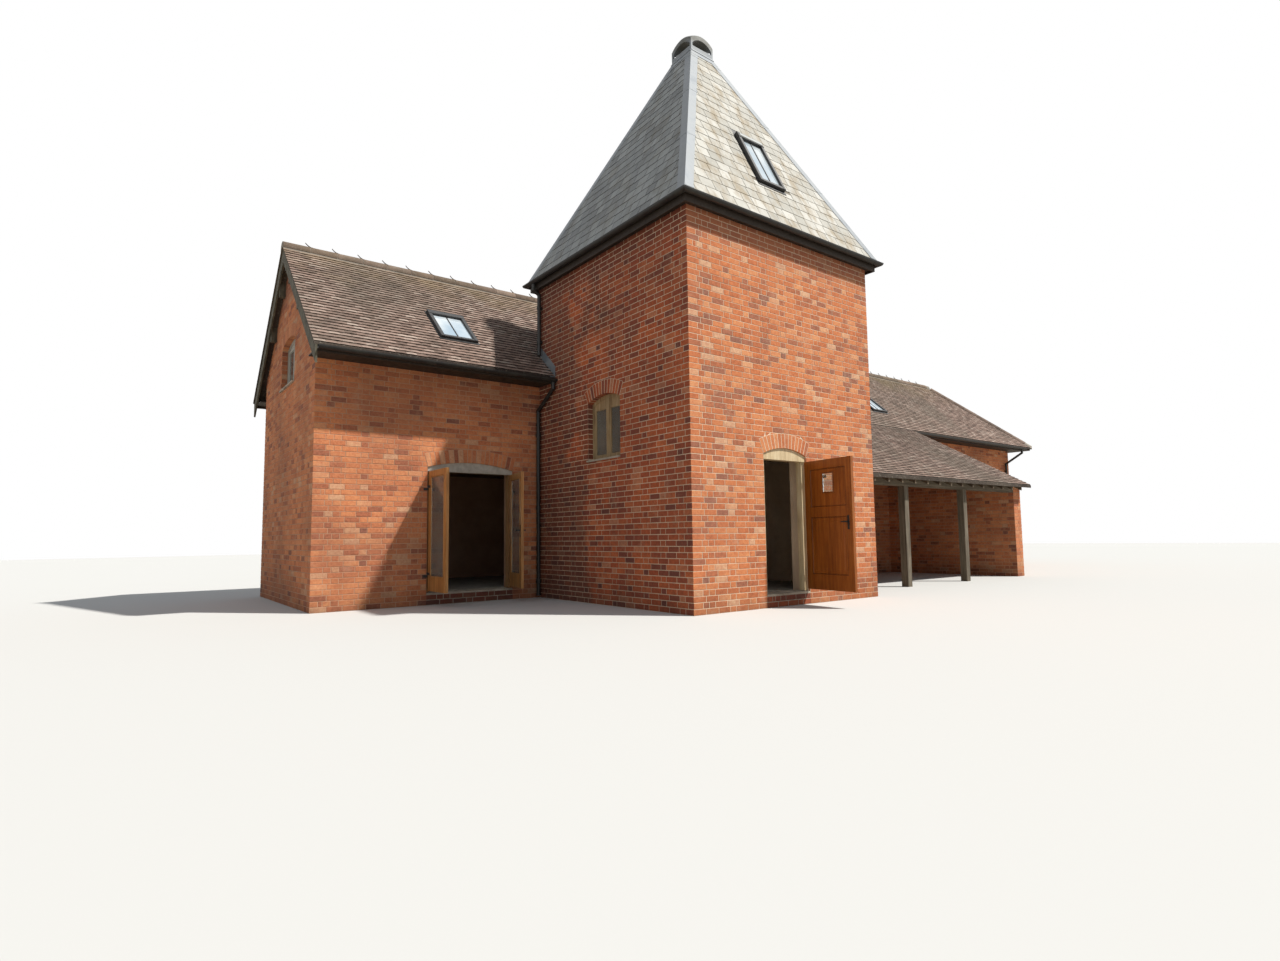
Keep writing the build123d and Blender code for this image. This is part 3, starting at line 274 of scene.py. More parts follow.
def turn_arch(bricks, bedding, place, opening):
    """Ring of bricks on end over an opening, on a thin bed of mortar."""
    inner, outer = opening.radius - 0.003, opening.radius + arch_ring
    count = round(2 * opening.lean * outer / course_height)
    step = 2 * opening.lean / count

    def at(radius, angle, n):
        return place(opening.u + radius * sin(angle), opening.centre + radius * cos(angle), n)

    for i in range(count):
        start = -opening.lean + i * step
        end = start + step
        bed = ((inner + 0.002, start), (inner + 0.002, end), (outer + 0.005, end), (outer + 0.005, start))
        bedding.plate(at, bed, -0.001, brick_proud + 0.0006)
        rings = []
        for n, inset in ((-opening.reveal, 0), (brick_proud, 0), (brick_proud + brick_arris, brick_arris)):
            ring = []
            for radius, order in ((inner + inset, 1), (outer - inset, -1)):
                shrink = (half_joint + inset) / radius
                ring += [at(radius, angle, n) for angle in (start + shrink, end - shrink)[::order]]
            rings.append(ring)
        bricks.loft(rings, brick_tone(0.2, 0))


def plug(tree, socket, value):
    """Joins another node's output to a socket, or sets the socket to a value."""
    if isinstance(value, bpy.types.NodeSocket):
        tree.links.new(value, socket)
    else:
        socket.default_value = (*value, 1.0) if socket.type == "RGBA" else value


def node(tree, kind, inputs=None, **settings):
    """A shader node, with its settings and what its inputs hold or are joined to."""
    made = tree.nodes.new("ShaderNode" + kind)
    for setting, value in settings.items():
        setattr(made, setting, value)
    for socket, value in (inputs or {}).items():
        plug(tree, made.inputs[socket], value)
    return made


class Finish:
    """A material as it is built up, with its colour so far."""

    def __init__(self, name, roughness, specular, metallic=0.0, colour=None):
        self.material = bpy.data.materials.new(name)
        self.material.use_nodes = True
        self.tree = self.material.node_tree
        self.point = node(self.tree, "TexCoord").outputs["Object"]
        self.colour = colour
        self.put("Roughness", roughness)
        self.put("Specular IOR Level", specular)
        self.put("Metallic", metallic)

    def put(self, socket, value):
        plug(self.tree, self.tree.nodes["Principled BSDF"].inputs[socket], value)

    def noise(self, scale, detail=4.0, roughness=0.55, stretch=None):
        point = self.point
        if stretch:
            point = node(self.tree, "Mapping", {"Vector": point, "Scale": stretch}).outputs["Vector"]
        inputs = {"Vector": point, "Scale": scale, "Detail": detail, "Roughness": roughness}
        return node(self.tree, "TexNoise", inputs).outputs["Fac"]

    def axis(self, name):
        """Place along X, Y or Z of the point that is seen."""
        return node(self.tree, "SeparateXYZ", {"Vector": self.point}).outputs[name]

    def sums(self, operation, *values):
        return node(self.tree, "Math", dict(enumerate(values)), operation=operation).outputs[0]

    def ramp(self, value, *stops):
        """Colours or greys along a value, as (place, colour) pairs."""
        made = node(self.tree, "ValToRGB", {"Fac": value})
        elements = made.color_ramp.elements
        while len(elements) < len(stops):
            elements.new(0.5)
        for element, (place, colour) in zip(elements, stops):
            element.position = place
            element.color = (*colour, 1.0) if isinstance(colour, tuple) else (colour, colour, colour, 1.0)
        return made.outputs["Color"]

    def by_tone(self, stops):
        """Starts from the tone of each brick, slate or tile."""
        tone = node(self.tree, "Attribute", attribute_name="tone").outputs["Fac"]
        self.colour = self.ramp(tone, *stops)

    def cover(self, share, colour, mode="MIX"):
        inputs = {0: share, 6: self.colour, 7: colour}
        self.colour = node(self.tree, "Mix", inputs, data_type="RGBA", blend_type=mode).outputs[2]

    def mottle(self, share, value, dark, pale):
        """Darkens and lightens by a share of a value's ramp, between two (place, grey) stops."""
        self.cover(share, self.ramp(value, dark, pale), "OVERLAY")

    def stain(self, value, bare, full, colour, share=1.0):
        """Lays a share of a colour on as a value rises from bare to full."""
        self.cover(self.ramp(value, (bare, 0.0), (full, share)), colour)

    def done(self, height=None, depth=0.0, strength=1.0):
        """Gives the material its colour and a relief that follows a value."""
        self.put("Base Color", self.colour)
        if height is not None:
            bump = node(self.tree, "Bump", {"Height": height, "Distance": depth, "Strength": strength})
            self.put("Normal", bump.outputs["Normal"])
        return self.material


def dress(names, material):
    """Gives a finish to pieces of the frame."""
    for name in names:
        for material_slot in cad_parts[name].material_slots:
            material_slot.material = material


def mortar_finish(name, clean, stained):
    look = Finish(name, 0.95, 0.2, colour=clean)
    look.stain(look.noise(1.1, 6), 0.35, 0.7, stained)
    grit = look.noise(220, 3)
    look.mottle(0.35, grit, (0.3, 0.25), (0.7, 0.75))
    return look.done(grit, 0.002, 0.7)


def brick_finish(name, tones, soot_and_eaves_shade, soot_share, lime, north_darkening=0.0):
    """Bricks by tone, with soot in patches, painted shade under the eaves, darkening in patches towards the
    north, lime bloom and damp at the foot.
    """
    look = Finish(name, 0.9, 0.25)
    look.by_tone(tones)
    mottle = look.noise(26, 6, 0.7)
    look.mottle(0.55, mottle, (0.3, 0.22), (0.7, 0.8))
    grit = look.noise(300, 3)
    look.mottle(0.3, grit, (0.3, 0.25), (0.7, 0.75))
    patchy = look.noise(0.8, 7, 0.62)
    look.stain(patchy, 0.42, 0.72, soot_and_eaves_shade, soot_share)
    look.stain(look.noise(3.1, 8, 0.7), 0.56, 0.78, lime, 0.5)
    # Darker in patches towards the north.
    northerly = look.sums("MULTIPLY", look.axis("Y"), 0.35)
    northward_patches = look.sums("ADD", look.sums("MULTIPLY", patchy, 1.6), northerly)
    look.stain(northward_patches, 0.85, 1.0, (0.12, 0.052, 0.04), north_darkening)
    height = look.axis("Z")
    damp = look.sums("SUBTRACT", look.noise(2.3, 4), height)
    look.stain(damp, 0.0, 0.6, (0.1, 0.055, 0.04), 0.5)
    # Painted shade under the eaves: from 5.1 m up the bricks darken towards the soot colour.
    look.stain(look.sums("SUBTRACT", height, 4.6), 0.5, 0.8, soot_and_eaves_shade, 0.75)
    look.put("Roughness", look.ramp(mottle, (0.2, 0.82), (0.8, 0.98)))
    return look.done(look.sums("ADD", look.sums("MULTIPLY", grit, 0.35), mottle), 0.004, 0.8)


kiln_mortar = mortar_finish("kiln_lime_mortar", (0.82, 0.65, 0.49), (0.6, 0.45, 0.33))
# The west, north and east walls and the step risers take a darker, more saturated copy of the bricks'
# colours, as painted shade. The south wall's paler copy is partly sun bleaching and partly painted sunlight.
kiln_shaded_tones = [
    (0.0, (0.16, 0.06, 0.048)), (0.12, (0.25, 0.075, 0.048)), (0.3, (0.37, 0.092, 0.045)),
    (0.5, (0.46, 0.112, 0.046)), (0.75, (0.53, 0.14, 0.055)), (0.93, (0.57, 0.18, 0.08)),
    (1.0, (0.55, 0.23, 0.13)),
]
bleached_and_sunlit_tones = [
    (0.0, (0.28, 0.13, 0.095)), (0.12, (0.4, 0.15, 0.085)), (0.28, (0.52, 0.165, 0.07)),
    (0.5, (0.61, 0.205, 0.085)), (0.72, (0.66, 0.245, 0.105)), (0.9, (0.7, 0.31, 0.15)),
    (1.0, (0.68, 0.39, 0.24)),
]
kiln_brick = brick_finish("kiln_brick", kiln_shaded_tones, (0.17, 0.058, 0.04), 0.65, (0.5, 0.31, 0.21), 0.6)
bleached_and_sunlit_brick = brick_finish("kiln_brick_bleached_and_sunlit", bleached_and_sunlit_tones, (0.36, 0.14, 0.085), 0.3, (0.68, 0.47, 0.33))
kiln_parts = [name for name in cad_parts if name.startswith("kiln_")]
dress([name for name in kiln_parts if "_wall" in name and name != "kiln_wall_plate"], kiln_mortar)

kiln_south = wall_face(-kiln_half, -kiln_half, 1, 0)
kiln_west = wall_face(-kiln_half, kiln_half, 0, -1)
kiln_east = wall_face(kiln_half, -kiln_half, 0, 1)
kiln_north = wall_face(kiln_half, kiln_half, -1, 0)
kiln_door_opening = Opening(1.885, 0.95, 0.0, 2.34, reveal=0.019, proud=0.002)
kiln_window_opening = Opening(kiln_half, 0.89, 2.256, 3.31)
over_range_roof = 4.3
bricks, bedding, south_bricks = Pile(), Pile(), Pile()
for pile, place, bottom, openings, laps in (
    (south_bricks, kiln_south, 0.0, [kiln_door_opening], 0),
    (bricks, kiln_west, 0.0, [kiln_window_opening], 1),
    (bricks, kiln_east, 0.0, [], 1),
    (bricks, kiln_north, over_range_roof, [], 0),
):
    lay_wall(pile, place, 2 * kiln_half, bottom, kiln_wall_top, openings, laps)
for pile, place, opening in (
    (south_bricks, kiln_south, kiln_door_opening),
    (bricks, kiln_west, kiln_window_opening),
):
    lay_reveals(pile, place, opening)
    turn_arch(pile, bedding, place, opening)
bricks.piece("kiln_bricks", kiln_brick, "kiln_brick")
south_bricks.piece("kiln_bricks_south", bleached_and_sunlit_brick, "kiln_brick")
bedding.piece("kiln_arch_bedding", kiln_mortar, "kiln_brick")

# Range and porch brickwork: later machine-pressed bricks of an even orange red, with tighter joints
# pointed in a darker mortar, so that the walls look smoother than the kiln's. Same bond and gauge.
range_mortar = mortar_finish("range_mortar", (0.6, 0.37, 0.25), (0.46, 0.27, 0.175))
range_tones = [
    (0.0, (0.27, 0.115, 0.08)), (0.14, (0.43, 0.15, 0.08)), (0.3, (0.59, 0.208, 0.098)),
    (0.6, (0.675, 0.254, 0.116)), (0.85, (0.72, 0.296, 0.14)), (1.0, (0.68, 0.37, 0.22)),
]
range_brick = brick_finish("range_brick", range_tones, (0.24, 0.105, 0.072), 0.6, (0.58, 0.37, 0.26))
range_wall_parts = [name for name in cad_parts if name.startswith("range_") and "_wall" in name]
dress(range_wall_parts + ["range_west_gable", "porch_end_wall"], range_mortar)
range_west, range_east = -5.83, 16.0
range_south, range_north = 2.05, 6.21
range_length, range_depth = 21.83, 4.16
soffit_line = 3.778
ridge_height = 6.2046
range_pitch = radians(41.5)
range_slope = tan(range_pitch)


def under_roof(v):
    """Sides of the west gable at a height, below the roof."""
    roof_drop = 0.15 / cos(range_pitch)
    half = (ridge_height - roof_drop - v) / range_slope
    return (range_depth / 2 - half, range_depth / 2 + half)


french_opening = Opening(2.48, 1.52, 0.0, 2.33, reveal=0.019, proud=0.002)
south_window = Opening(18.43, 1.0, 1.1, 2.2)
north_windows = [Opening(range_east - x, 1.0, 1.1, 2.2) for x in (-3.6, 3.2, 10.6)]
gable_window = Opening(range_depth / 2, 1.1, 3.7, 4.57)
range_walls = {
    "south": (wall_face(range_west, range_south, 1, 0), range_length, [french_opening, south_window], 0),
    "north": (wall_face(range_east, range_north, -1, 0), range_length, north_windows, 0),
    "west": (wall_face(range_west, range_north, 0, -1), range_depth, [gable_window], 1),
    "east": (wall_face(range_east, range_south, 0, 1), range_depth, [], 1),
}
for side, (place, length, openings, laps) in range_walls.items():
    bricks, bedding = Pile(), Pile()
    top, edges = (6.0, under_roof) if side == "west" else (soffit_line, None)
    lay_wall(bricks, place, length, 0.0, top, openings, laps, 0.2, edges)
    for opening in openings:
        lay_reveals(bricks, place, opening)
        turn_arch(bricks, bedding, place, opening)
    bricks.piece(f"range_bricks_{side}", range_brick, "range_brick")
    if openings:
        bedding.piece(f"range_arch_bedding_{side}", range_mortar, "range_brick")

# Kiln roof: natural slates of uneven width, each hung from two nails so that a fifth of a metre shows,
# their lower edges split and chipped with age. The slopes are bleached and streaked by lichen.
kiln_pitch = radians(63.9)
kiln_eaves_half = 2.2
kiln_eaves_height = 5.74
kiln_roof_length = 1.95 / cos(kiln_pitch)
slate_gauge = 0.2
slate_lap = 0.03
slate_lift = 0.008
slate_foot = 0.0015
slate_joint = 0.0042
hip_cover = 0.1
window_low, window_high, window_half = 0.92, 2.07, 0.3


def kiln_slope_surface(out_x, out_y):
    """A kiln slope, with u from its middle and v up from the slates' lower edge."""
    lean = cos(kiln_pitch)
    origin = (out_x * kiln_eaves_half, out_y * kiln_eaves_half, kiln_eaves_height)
    return surface(origin, (-out_y, out_x, 0), (-out_x * lean, -out_y * lean, sin(kiln_pitch)))


def hip_at(v):
    """Half the width of a kiln slope, v up it."""
    return kiln_eaves_half - v * cos(kiln_pitch)


def slate(pile, place, start, end, foot, head):
    """One slate, clipped to the hips. Its foot is a little ragged."""
    def clipped(u, v):
        limit = hip_at(v) - hip_cover
        return (max(-limit, min(limit, u)), v)

    outline = [clipped(start, foot + random.uniform(0, 0.003))]
    for i in range(1, 5):
        chip = random.uniform(-0.001, 0.003) + (random.random() < 0.07) * random.uniform(0.004, 0.012)
        outline.append(clipped(start + (end - start) * (i + random.uniform(-0.3, 0.3)) / 5, foot + chip))
    outline += [clipped(end, foot + random.uniform(0, 0.003)), clipped(end, head), clipped(start, head)]
    if outline[5][0] - outline[0][0] < 0.02:
        return
    rise = (slate_lift + random.uniform(-0.0015, 0.001) - slate_foot) / (head - foot)
    rings = [[place(u, v, 0.0) for u, v in outline]]
    rings.append([place(u, v, slate_foot + rise * (head - v)) for u, v in outline])
    # The slates' edges take tone 0, a near black painted shade that marks each course.
    pile.loft(rings, random.uniform(0.06, 1), side_tone=0.0)


def slate_finish(name, edge, darkest, middle, palest, stain, stain_share):
    look = Finish(name, 0.72, 0.35)
    # The edge colour, at tones up to 0.03, is painted shade on the slates' edges.
    look.by_tone([(0.0, edge), (0.03, edge), (0.05, darkest), (0.45, middle), (1.0, palest)])
    look.mottle(0.3, look.noise(2.2, 8, 0.65), (0.35, 0.34), (0.68, 0.66))
    look.stain(look.noise(4.2, 7, 0.62, (1.0, 1.0, 0.13)), 0.47, 0.64, stain, stain_share)
    look.stain(look.noise(34, 6, 0.75), 0.6, 0.7, (0.62, 0.6, 0.5), 0.6)
    look.stain(look.noise(21, 5, 0.7), 0.62, 0.74, (0.12, 0.11, 0.09), 0.55)
    riven = look.noise(16, 8, 0.7)
    look.put("Roughness", look.ramp(riven, (0.3, 0.6), (0.7, 0.85)))
    return look.done(riven, 0.006, 0.6)


# The north, east and west slopes take a darker copy of the slates, partly weathering and partly painted
# shade. The south slope takes a paler one, partly lichen bleaching and partly painted sunlight.
slate_shade = slate_finish(
    "kiln_slate_weathered_and_shaded", (0.055, 0.055, 0.055), (0.235, 0.245, 0.25), (0.31, 0.325, 0.33),
    (0.4, 0.415, 0.415), (0.2, 0.185, 0.15), 0.42
)
slate_sun = slate_finish(
    "kiln_slate_bleached_and_sunlit", (0.17, 0.145, 0.11), (0.42, 0.41, 0.37), (0.5, 0.49, 0.45),
    (0.6, 0.59, 0.55), (0.31, 0.245, 0.155), 0.75
)
kiln_slopes = {"south": (0, -1), "west": (-1, 0), "north": (0, 1), "east": (1, 0)}
for side, out in kiln_slopes.items():
    slates = Pile()
    place = kiln_slope_surface(*out)
    windowed = side == "south"
    for row in range(int(kiln_roof_length / slate_gauge) + 1):
        foot = row * slate_gauge + 0.004
        head = min(foot + slate_gauge + slate_lap, kiln_roof_length)
        limit = hip_at(foot) - hip_cover
        start = -limit - random.uniform(0.0, 0.25)
        while start < limit:
            end = start + random.uniform(0.2, 0.29)
            stretches = [(start, end)]
            top = head
            if windowed and window_low < foot < window_high:
                stretches = [(start, min(end, -window_half)), (max(start, window_half), end)]
            elif windowed and foot < window_low < head and abs(start + end) / 2 < 0.45:
                top = window_low + 0.01
            for a, b in stretches:
                if b - a > 0.03:
                    slip = random.uniform(-0.003, 0.003)
                    slate(slates, place, a + slate_joint, b - slate_joint, foot + slip, top)
            start = end
    slate_material = slate_sun if windowed else slate_shade
    slates.piece(f"kiln_slates_{side}", slate_material, "slate")
    dress([f"kiln_roof_{side}"], slate_material)

# Leadwork: sheet lead dressed over the hips in lapped lengths, round the curb, over the cowl's lid and
# up the kiln's walls above the tiled roofs. It is dull blue grey, with a chalky bloom and run-off streaks,
# and moss on the crown of the lid.
look = Finish("sheet_lead", 0.5, 0.5, 0.15, colour=(0.175, 0.2, 0.23))
cloudy = look.noise(4.0, 7, 0.6)
look.stain(cloudy, 0.35, 0.7, (0.32, 0.34, 0.355), 0.85)
look.stain(look.noise(14, 5, 0.6, (1.0, 1.0, 0.1)), 0.55, 0.75, (0.24, 0.25, 0.25), 0.4)
lid_crown = 9.93
grown = look.sums("SUBTRACT", look.sums("MULTIPLY_ADD", cloudy, 0.2, look.axis("Z")), lid_crown)
look.stain(grown, 0.0, 0.12, (0.085, 0.083, 0.066), 0.8)
look.put("Roughness", look.ramp(cloudy, (0.3, 0.42), (0.7, 0.68)))
lead = look.done(look.noise(9, 5, 0.5), 0.008, 0.5)
dress(["kiln_hips", "kiln_cowl_curb", "kiln_cowl_lid", "lead_flashings"], lead)
laps = Pile()
lap_width, lap_height = 0.164, 0.05
for out in kiln_slopes.values():
    place = kiln_slope_surface(*out)
    for foot in (0.02, 1.42, 2.86, 4.18):
        head = foot + lap_height
        for side in (-1, 1):
            edges = [(hip_at(foot) - lap_width, foot), (hip_at(foot), foot)]
            edges += [(hip_at(head), head), (hip_at(head) - lap_width, head)]
            laps.plate(place, [(side * u, v) for u, v in edges][::side], 0.0, 0.0145)
    for foot, head, lift in ((4.27, 4.43, 0.0135), (4.385, 4.43, 0.022)):
        outline = [(-hip_at(foot), foot), (hip_at(foot), foot), (hip_at(head), head), (-hip_at(head), head)]
        laps.plate(place, outline, 0.0, lift)
laps.piece("kiln_lead_laps", lead, "lead")

# Tiled roofs: hand-made clay plain tiles with a slight camber, hung at a 100 mm gauge and half a tile
# over at each course. They are mottled from rose to brown, with grey and orange lichen.
tile_gauge = 0.1
tile_width = 0.165
tile_lift = 0.016
tile_thickness = 0.0135
tile_back = 0.001
tile_lap = 0.012
tile_joint = 0.0012
roof_west, roof_east = -5.98, 16.52
eaves_south, eaves_north, eaves_height = 1.48, 6.78, 3.86
roof_length, roof_half, roof_rise, hip_run = 22.5, 2.65, 2.3446, 1.79
porch_slope = 0.57383


def tile(pile, place, start, end, foot, head, sides):
    """One tile, as four rows of points: under its foot, on it, where the tile above shades it, its head."""
    under, top, stain, back = [], [], [], []
    lift = tile_lift + random.uniform(-0.0025, 0.0015)
    tilt = random.uniform(-0.0012, 0.0012)
    stained = max(foot + 0.02, head - 0.036)
    sunk = tile_back + (lift - tile_back) * (head - stained) / (head - foot)
    for share in (0, 0.5, 1):
        camber = 0.003 * (1 - abs(2 * share - 1)) + tilt * (share - 0.5)
        u = start + (end - start) * share
        for points, v, n in (
            (under, foot, lift - tile_thickness),
            (top, foot + 0.0008, lift),
            (stain, stained, sunk),
            (back, head, tile_back),
        ):
            first, last = sides(v)
            points.append(place(max(first, min(last, u)), v, n + camber))
    if (under[2] - under[0]).length < 0.02:
        return
    tone = random.uniform(0.2, 1)
    shaded = 0.1 * tone + 0.04
    faces = [(0, 1, 4, 3), (1, 2, 5, 4), (6, 7, 10, 9), (7, 8, 11, 10), (3, 4, 7, 6), (4, 5, 8, 7)]
    faces += [(0, 3, 6, 9), (2, 11, 8, 5)]
    # The front edges take tone 0, painted shade on each tile's front edge. The strip under the tile above
    # takes a dark tone, painted shade with some dirt of the lap.
    pile.add(under + top + stain + back, faces, [0.0, 0.0, shaded, shaded] + [tone] * 4)


def tile_finish(name, tones, moss):
    """Tiles by tone, with dark weathering, grey and orange lichen, and moss that thickens to the ridge."""
    look = Finish(name, 0.9, 0.25)
    look.by_tone(tones)
    mottle = look.noise(42, 5, 0.7)
    look.mottle(0.45, mottle, (0.3, 0.32), (0.7, 0.68))
    look.mottle(0.6, look.noise(4.5, 7, 0.72), (0.36, 0.26), (0.64, 0.74))
    look.stain(look.noise(0.42, 9, 0.6, (1.0, 0.55, 0.55)), 0.47, 0.64, (0.12, 0.1, 0.078), 0.55)
    look.stain(look.noise(31, 7, 0.75), 0.55, 0.68, (0.4, 0.37, 0.32), 0.55)
    near_ridge = look.sums("MULTIPLY", look.sums("SUBTRACT", look.axis("Z"), 4.4), 0.42)
    mossy = look.sums("MULTIPLY", look.noise(1.3, 9, 0.68), near_ridge)
    look.stain(mossy, 0.22, 0.5, (0.27, 0.205, 0.095), moss)
    look.stain(look.noise(9, 9, 0.8), 0.66, 0.74, (0.48, 0.3, 0.11), 0.7)
    look.put("Roughness", look.ramp(mottle, (0.2, 0.8), (0.8, 0.98)))
    grit = look.sums("MULTIPLY", look.noise(190, 3), 0.4)
    return look.done(look.sums("ADD", grit, mottle), 0.003, 0.7)


# Tones up to 0.03 are painted shade on the tiles' front edges, and tones from 0.06 to 0.14 painted shade,
# with some dirt, on the strip under each course.
clay_tones = [
    (0.0, (0.05, 0.038, 0.032)), (0.03, (0.055, 0.041, 0.034)), (0.05, (0.105, 0.074, 0.061)),
    (0.2, (0.165, 0.112, 0.091)), (0.5, (0.268, 0.183, 0.149)), (0.8, (0.325, 0.232, 0.193)),
    (1.0, (0.41, 0.325, 0.275)),
]
clay_tile = tile_finish("clay_plain_tile", clay_tones, 0.5)
dress(["range_roof_south", "range_roof_north", "range_roof_east", "porch_roof"], clay_tile)


def lay_tiles(name, place, length, sides, gaps=(), first_row=0.02):
    """Courses of tiles up a slope. gaps are (from, to, low, high) places that they leave free."""
    pile = Pile()
    for row in range(round((length - first_row) / tile_gauge)):
        foot = first_row + row * tile_gauge
        head = min(foot + tile_gauge + tile_lap, length)
        first, last = sides(foot)
        start = floor(first / tile_width) * tile_width - (row % 2) * tile_width / 2
        while start < last:
            end = start + tile_width
            parts = [(max(start, first), min(end, last), head)]
            for left, right, low, high in gaps:
                cut = []
                for a, b, top in parts:
                    if b <= left or a >= right or foot >= high or head <= low:
                        cut.append((a, b, top))
                    elif foot < low:
                        cut.append((a, b, low))
                    else:
                        cut += [(a, min(b, left), top), (max(a, right), b, top)]
                parts = cut
            for a, b, top in parts:
                if b - a > 0.015 and top - foot > 0.01:
                    slip = random.uniform(-0.002, 0.002)
                    tile(pile, place, a + tile_joint, b - tile_joint, foot + slip, top, sides)
            start = end
    pile.piece(name, clay_tile, "clay_tile")


range_cos, range_sin = cos(range_pitch), sin(range_pitch)
south_roof = surface((roof_west, eaves_south, eaves_height), (1, 0, 0), (0, range_cos, range_sin))
north_roof = surface((roof_east, eaves_north, eaves_height), (-1, 0, 0), (0, -range_cos, range_sin))
slope_length = roof_half / range_cos
roof_window_places = (-3.565, 8.69)
gaps = [(x - roof_west - 0.34, x - roof_west + 0.34, 0.81, 1.81) for x in roof_window_places]
kiln_from, kiln_to, flashing_top = 3.925, 8.035, 0.762
gaps.append((kiln_from, kiln_to, -1.0, flashing_top))
hip_in = hip_run / slope_length
lay_tiles("range_tiles_south", south_roof, slope_length, lambda v: (0.0, roof_length - hip_in * v), gaps)
lay_tiles("range_tiles_north", north_roof, slope_length, lambda v: (hip_in * v, roof_length))
hip_length = hypot(hip_run, roof_rise)
hip_up = (-hip_run / hip_length, 0, roof_rise / hip_length)
east_roof = surface((roof_east, eaves_south, eaves_height), (0, 1, 0), hip_up)


def between_hips(v):
    """The two hips of the east slope, v up it."""
    inset = roof_half * v / hip_length
    return (inset, 2 * roof_half - inset)


lay_tiles("range_tiles_east", east_roof, hip_length, between_hips, first_row=0.03)
porch_pitch = atan(porch_slope)
porch_roof = surface((2.05, -1.5, 2.15), (1, 0, 0), (0, cos(porch_pitch), sin(porch_pitch)))
lay_tiles("porch_tiles", porch_roof, 2.98 / cos(porch_pitch), lambda v: (0.006, 7.21))

# Ridge and hips: half-round clay tiles 0.44 m long, bedded in mortar, with a small dark hook turned up at
# each joint of the ridge. The frame's own runs are the bedding.
bedding_mortar = mortar_finish("ridge_mortar", (0.4, 0.36, 0.31), (0.24, 0.22, 0.19))
dress(["range_ridge_tiles", "range_hip_tiles"], bedding_mortar)
ridge_tones = [(0.0, (0.11, 0.08, 0.066)), (0.5, (0.19, 0.135, 0.11)), (1.0, (0.27, 0.2, 0.165))]
ridge_clay = tile_finish("ridge_tile_clay", ridge_tones, 0.2)
look = Finish("ridge_hook_iron", 0.7, 0.4)
look.colour = look.ramp(look.noise(60, 5), (0.35, (0.035, 0.03, 0.028)), (0.65, (0.11, 0.075, 0.055)))
hook_iron = look.done()
range_middle = 4.13
ridge_tile_length = 0.446
ridge_tile_body = 0.007
ridge_tile_crown = 0.06
ridge_tile_half = 0.115
ridge_tile_bed = 0.04


def shoulder_over(fall):
    """Height of a ridge tile's edges over the line that it covers, on slopes that fall away."""
    return ridge_tile_bed - ridge_tile_half * fall


def ridge_tile(pile, place, start, end, shoulder):
    """Half-round tile from start to end along a surface's u, across its v, crown up along its n."""
    drop = ridge_tile_crown - shoulder
    radius = (ridge_tile_half**2 + drop**2) / (2 * drop)
    lean = asin(ridge_tile_half / radius)
    if drop >= radius:
        lean = pi - lean
    rings = []
    for along, grow in ((start, 0.0), (end, 0.002)):
        ring = []
        for body, order in ((ridge_tile_body + grow, 1), (-0.002, -1)):
            for i in range(13):
                angle = order * (lean - 2 * lean * i / 12)
                reach = radius + body
                n = ridge_tile_crown - radius + reach * cos(angle)
                ring.append(place(along, reach * sin(angle), n))
        rings.append(ring)
    pile.loft(rings, random.uniform(0.06, 1), foot=True)


def ridge_hook(pile, joint):
    """Round hook at a joint, lying along the crown and turned up towards the west."""
    rings = []
    for i in range(9):
        share = i / 8
        u, rise = joint + 0.055 - 0.125 * share, 0.066 + 0.07 * share**2
        slope = atan2(0.14 * share, -0.125)
        radius = 0.013 - 0.006 * share
        ring = []
        for turn in (tau * k / 8 for k in range(8)):
            near, side = radius * cos(turn), -radius * sin(turn)
            ring.append(ridge_line(u + near * sin(slope), side, rise - near * cos(slope)))
        rings.append(ring)
    pile.loft(rings, foot=True)


ridge_tiles, hooks = Pile(), Pile()
ridge_line = surface((roof_west, range_middle, ridge_height), (1, 0, 0), (0, 1, 0))
for i in range(int((roof_length - hip_run) / ridge_tile_length)):
    start = i * ridge_tile_length
    end = start + ridge_tile_length - 0.007
    ridge_tile(ridge_tiles, ridge_line, start + 0.003, end, shoulder_over(range_slope))
    if i:
        ridge_hook(hooks, start - 0.006)
ridge_tiles.piece("ridge_tiles", ridge_clay, "clay_tile")
hooks.piece("ridge_hooks", hook_iron, "cast_iron")
for name, side in (("south", -1), ("north", 1)):
    run = Vector((hip_run, side * roof_half, -roof_rise)).normalized()
    across = Vector((-side * roof_half, hip_run, 0)).normalized()
    rise = run.cross(across)
    slopes = Vector((1.3098, 0, 1)), Vector((0, side * range_slope, 1))
    shoulder = shoulder_over(sum(abs(slope.dot(across) / slope.dot(rise)) for slope in slopes) / 2)
    hip_line = surface((roof_east - hip_run, range_middle, ridge_height), run, across)
    tiles = Pile()
    for i in range(8):
        start = 0.13 + i * ridge_tile_length
        ridge_tile(tiles, hip_line, start, min(start + ridge_tile_length - 0.01, 3.8), shoulder)
    tiles.piece(f"hip_tiles_{name}", ridge_clay, "clay_tile")

# Eaves: brown-stained fascia and soffit boards, with black half-round iron gutters on strap brackets and
# black iron downpipes whose lengths are joined by collars.
def timber_finish(name, tones, grain, roughness, gloss=0.3):
    """Timber whose grain runs the way in which grain is small, weathered to dark and pale streaks."""
    dark, mid, pale = tones
    look = Finish(name, roughness, gloss)
    figure = look.noise(22, 8, 0.65, grain)
    look.colour = look.ramp(figure, (0.3, dark), (0.52, mid), (0.72, pale))
    look.mottle(0.5, look.noise(2.1, 5, 0.6), (0.3, 0.34), (0.7, 0.66))
    pores = look.noise(90, 4, 0.6, grain)
    look.stain(pores, 0.55, 0.7, dark, 0.5)
    look.put("Roughness", look.ramp(figure, (0.2, roughness), (0.8, roughness - 0.15)))
    return look.done(look.sums("ADD", figure, pores), 0.002, 0.5)


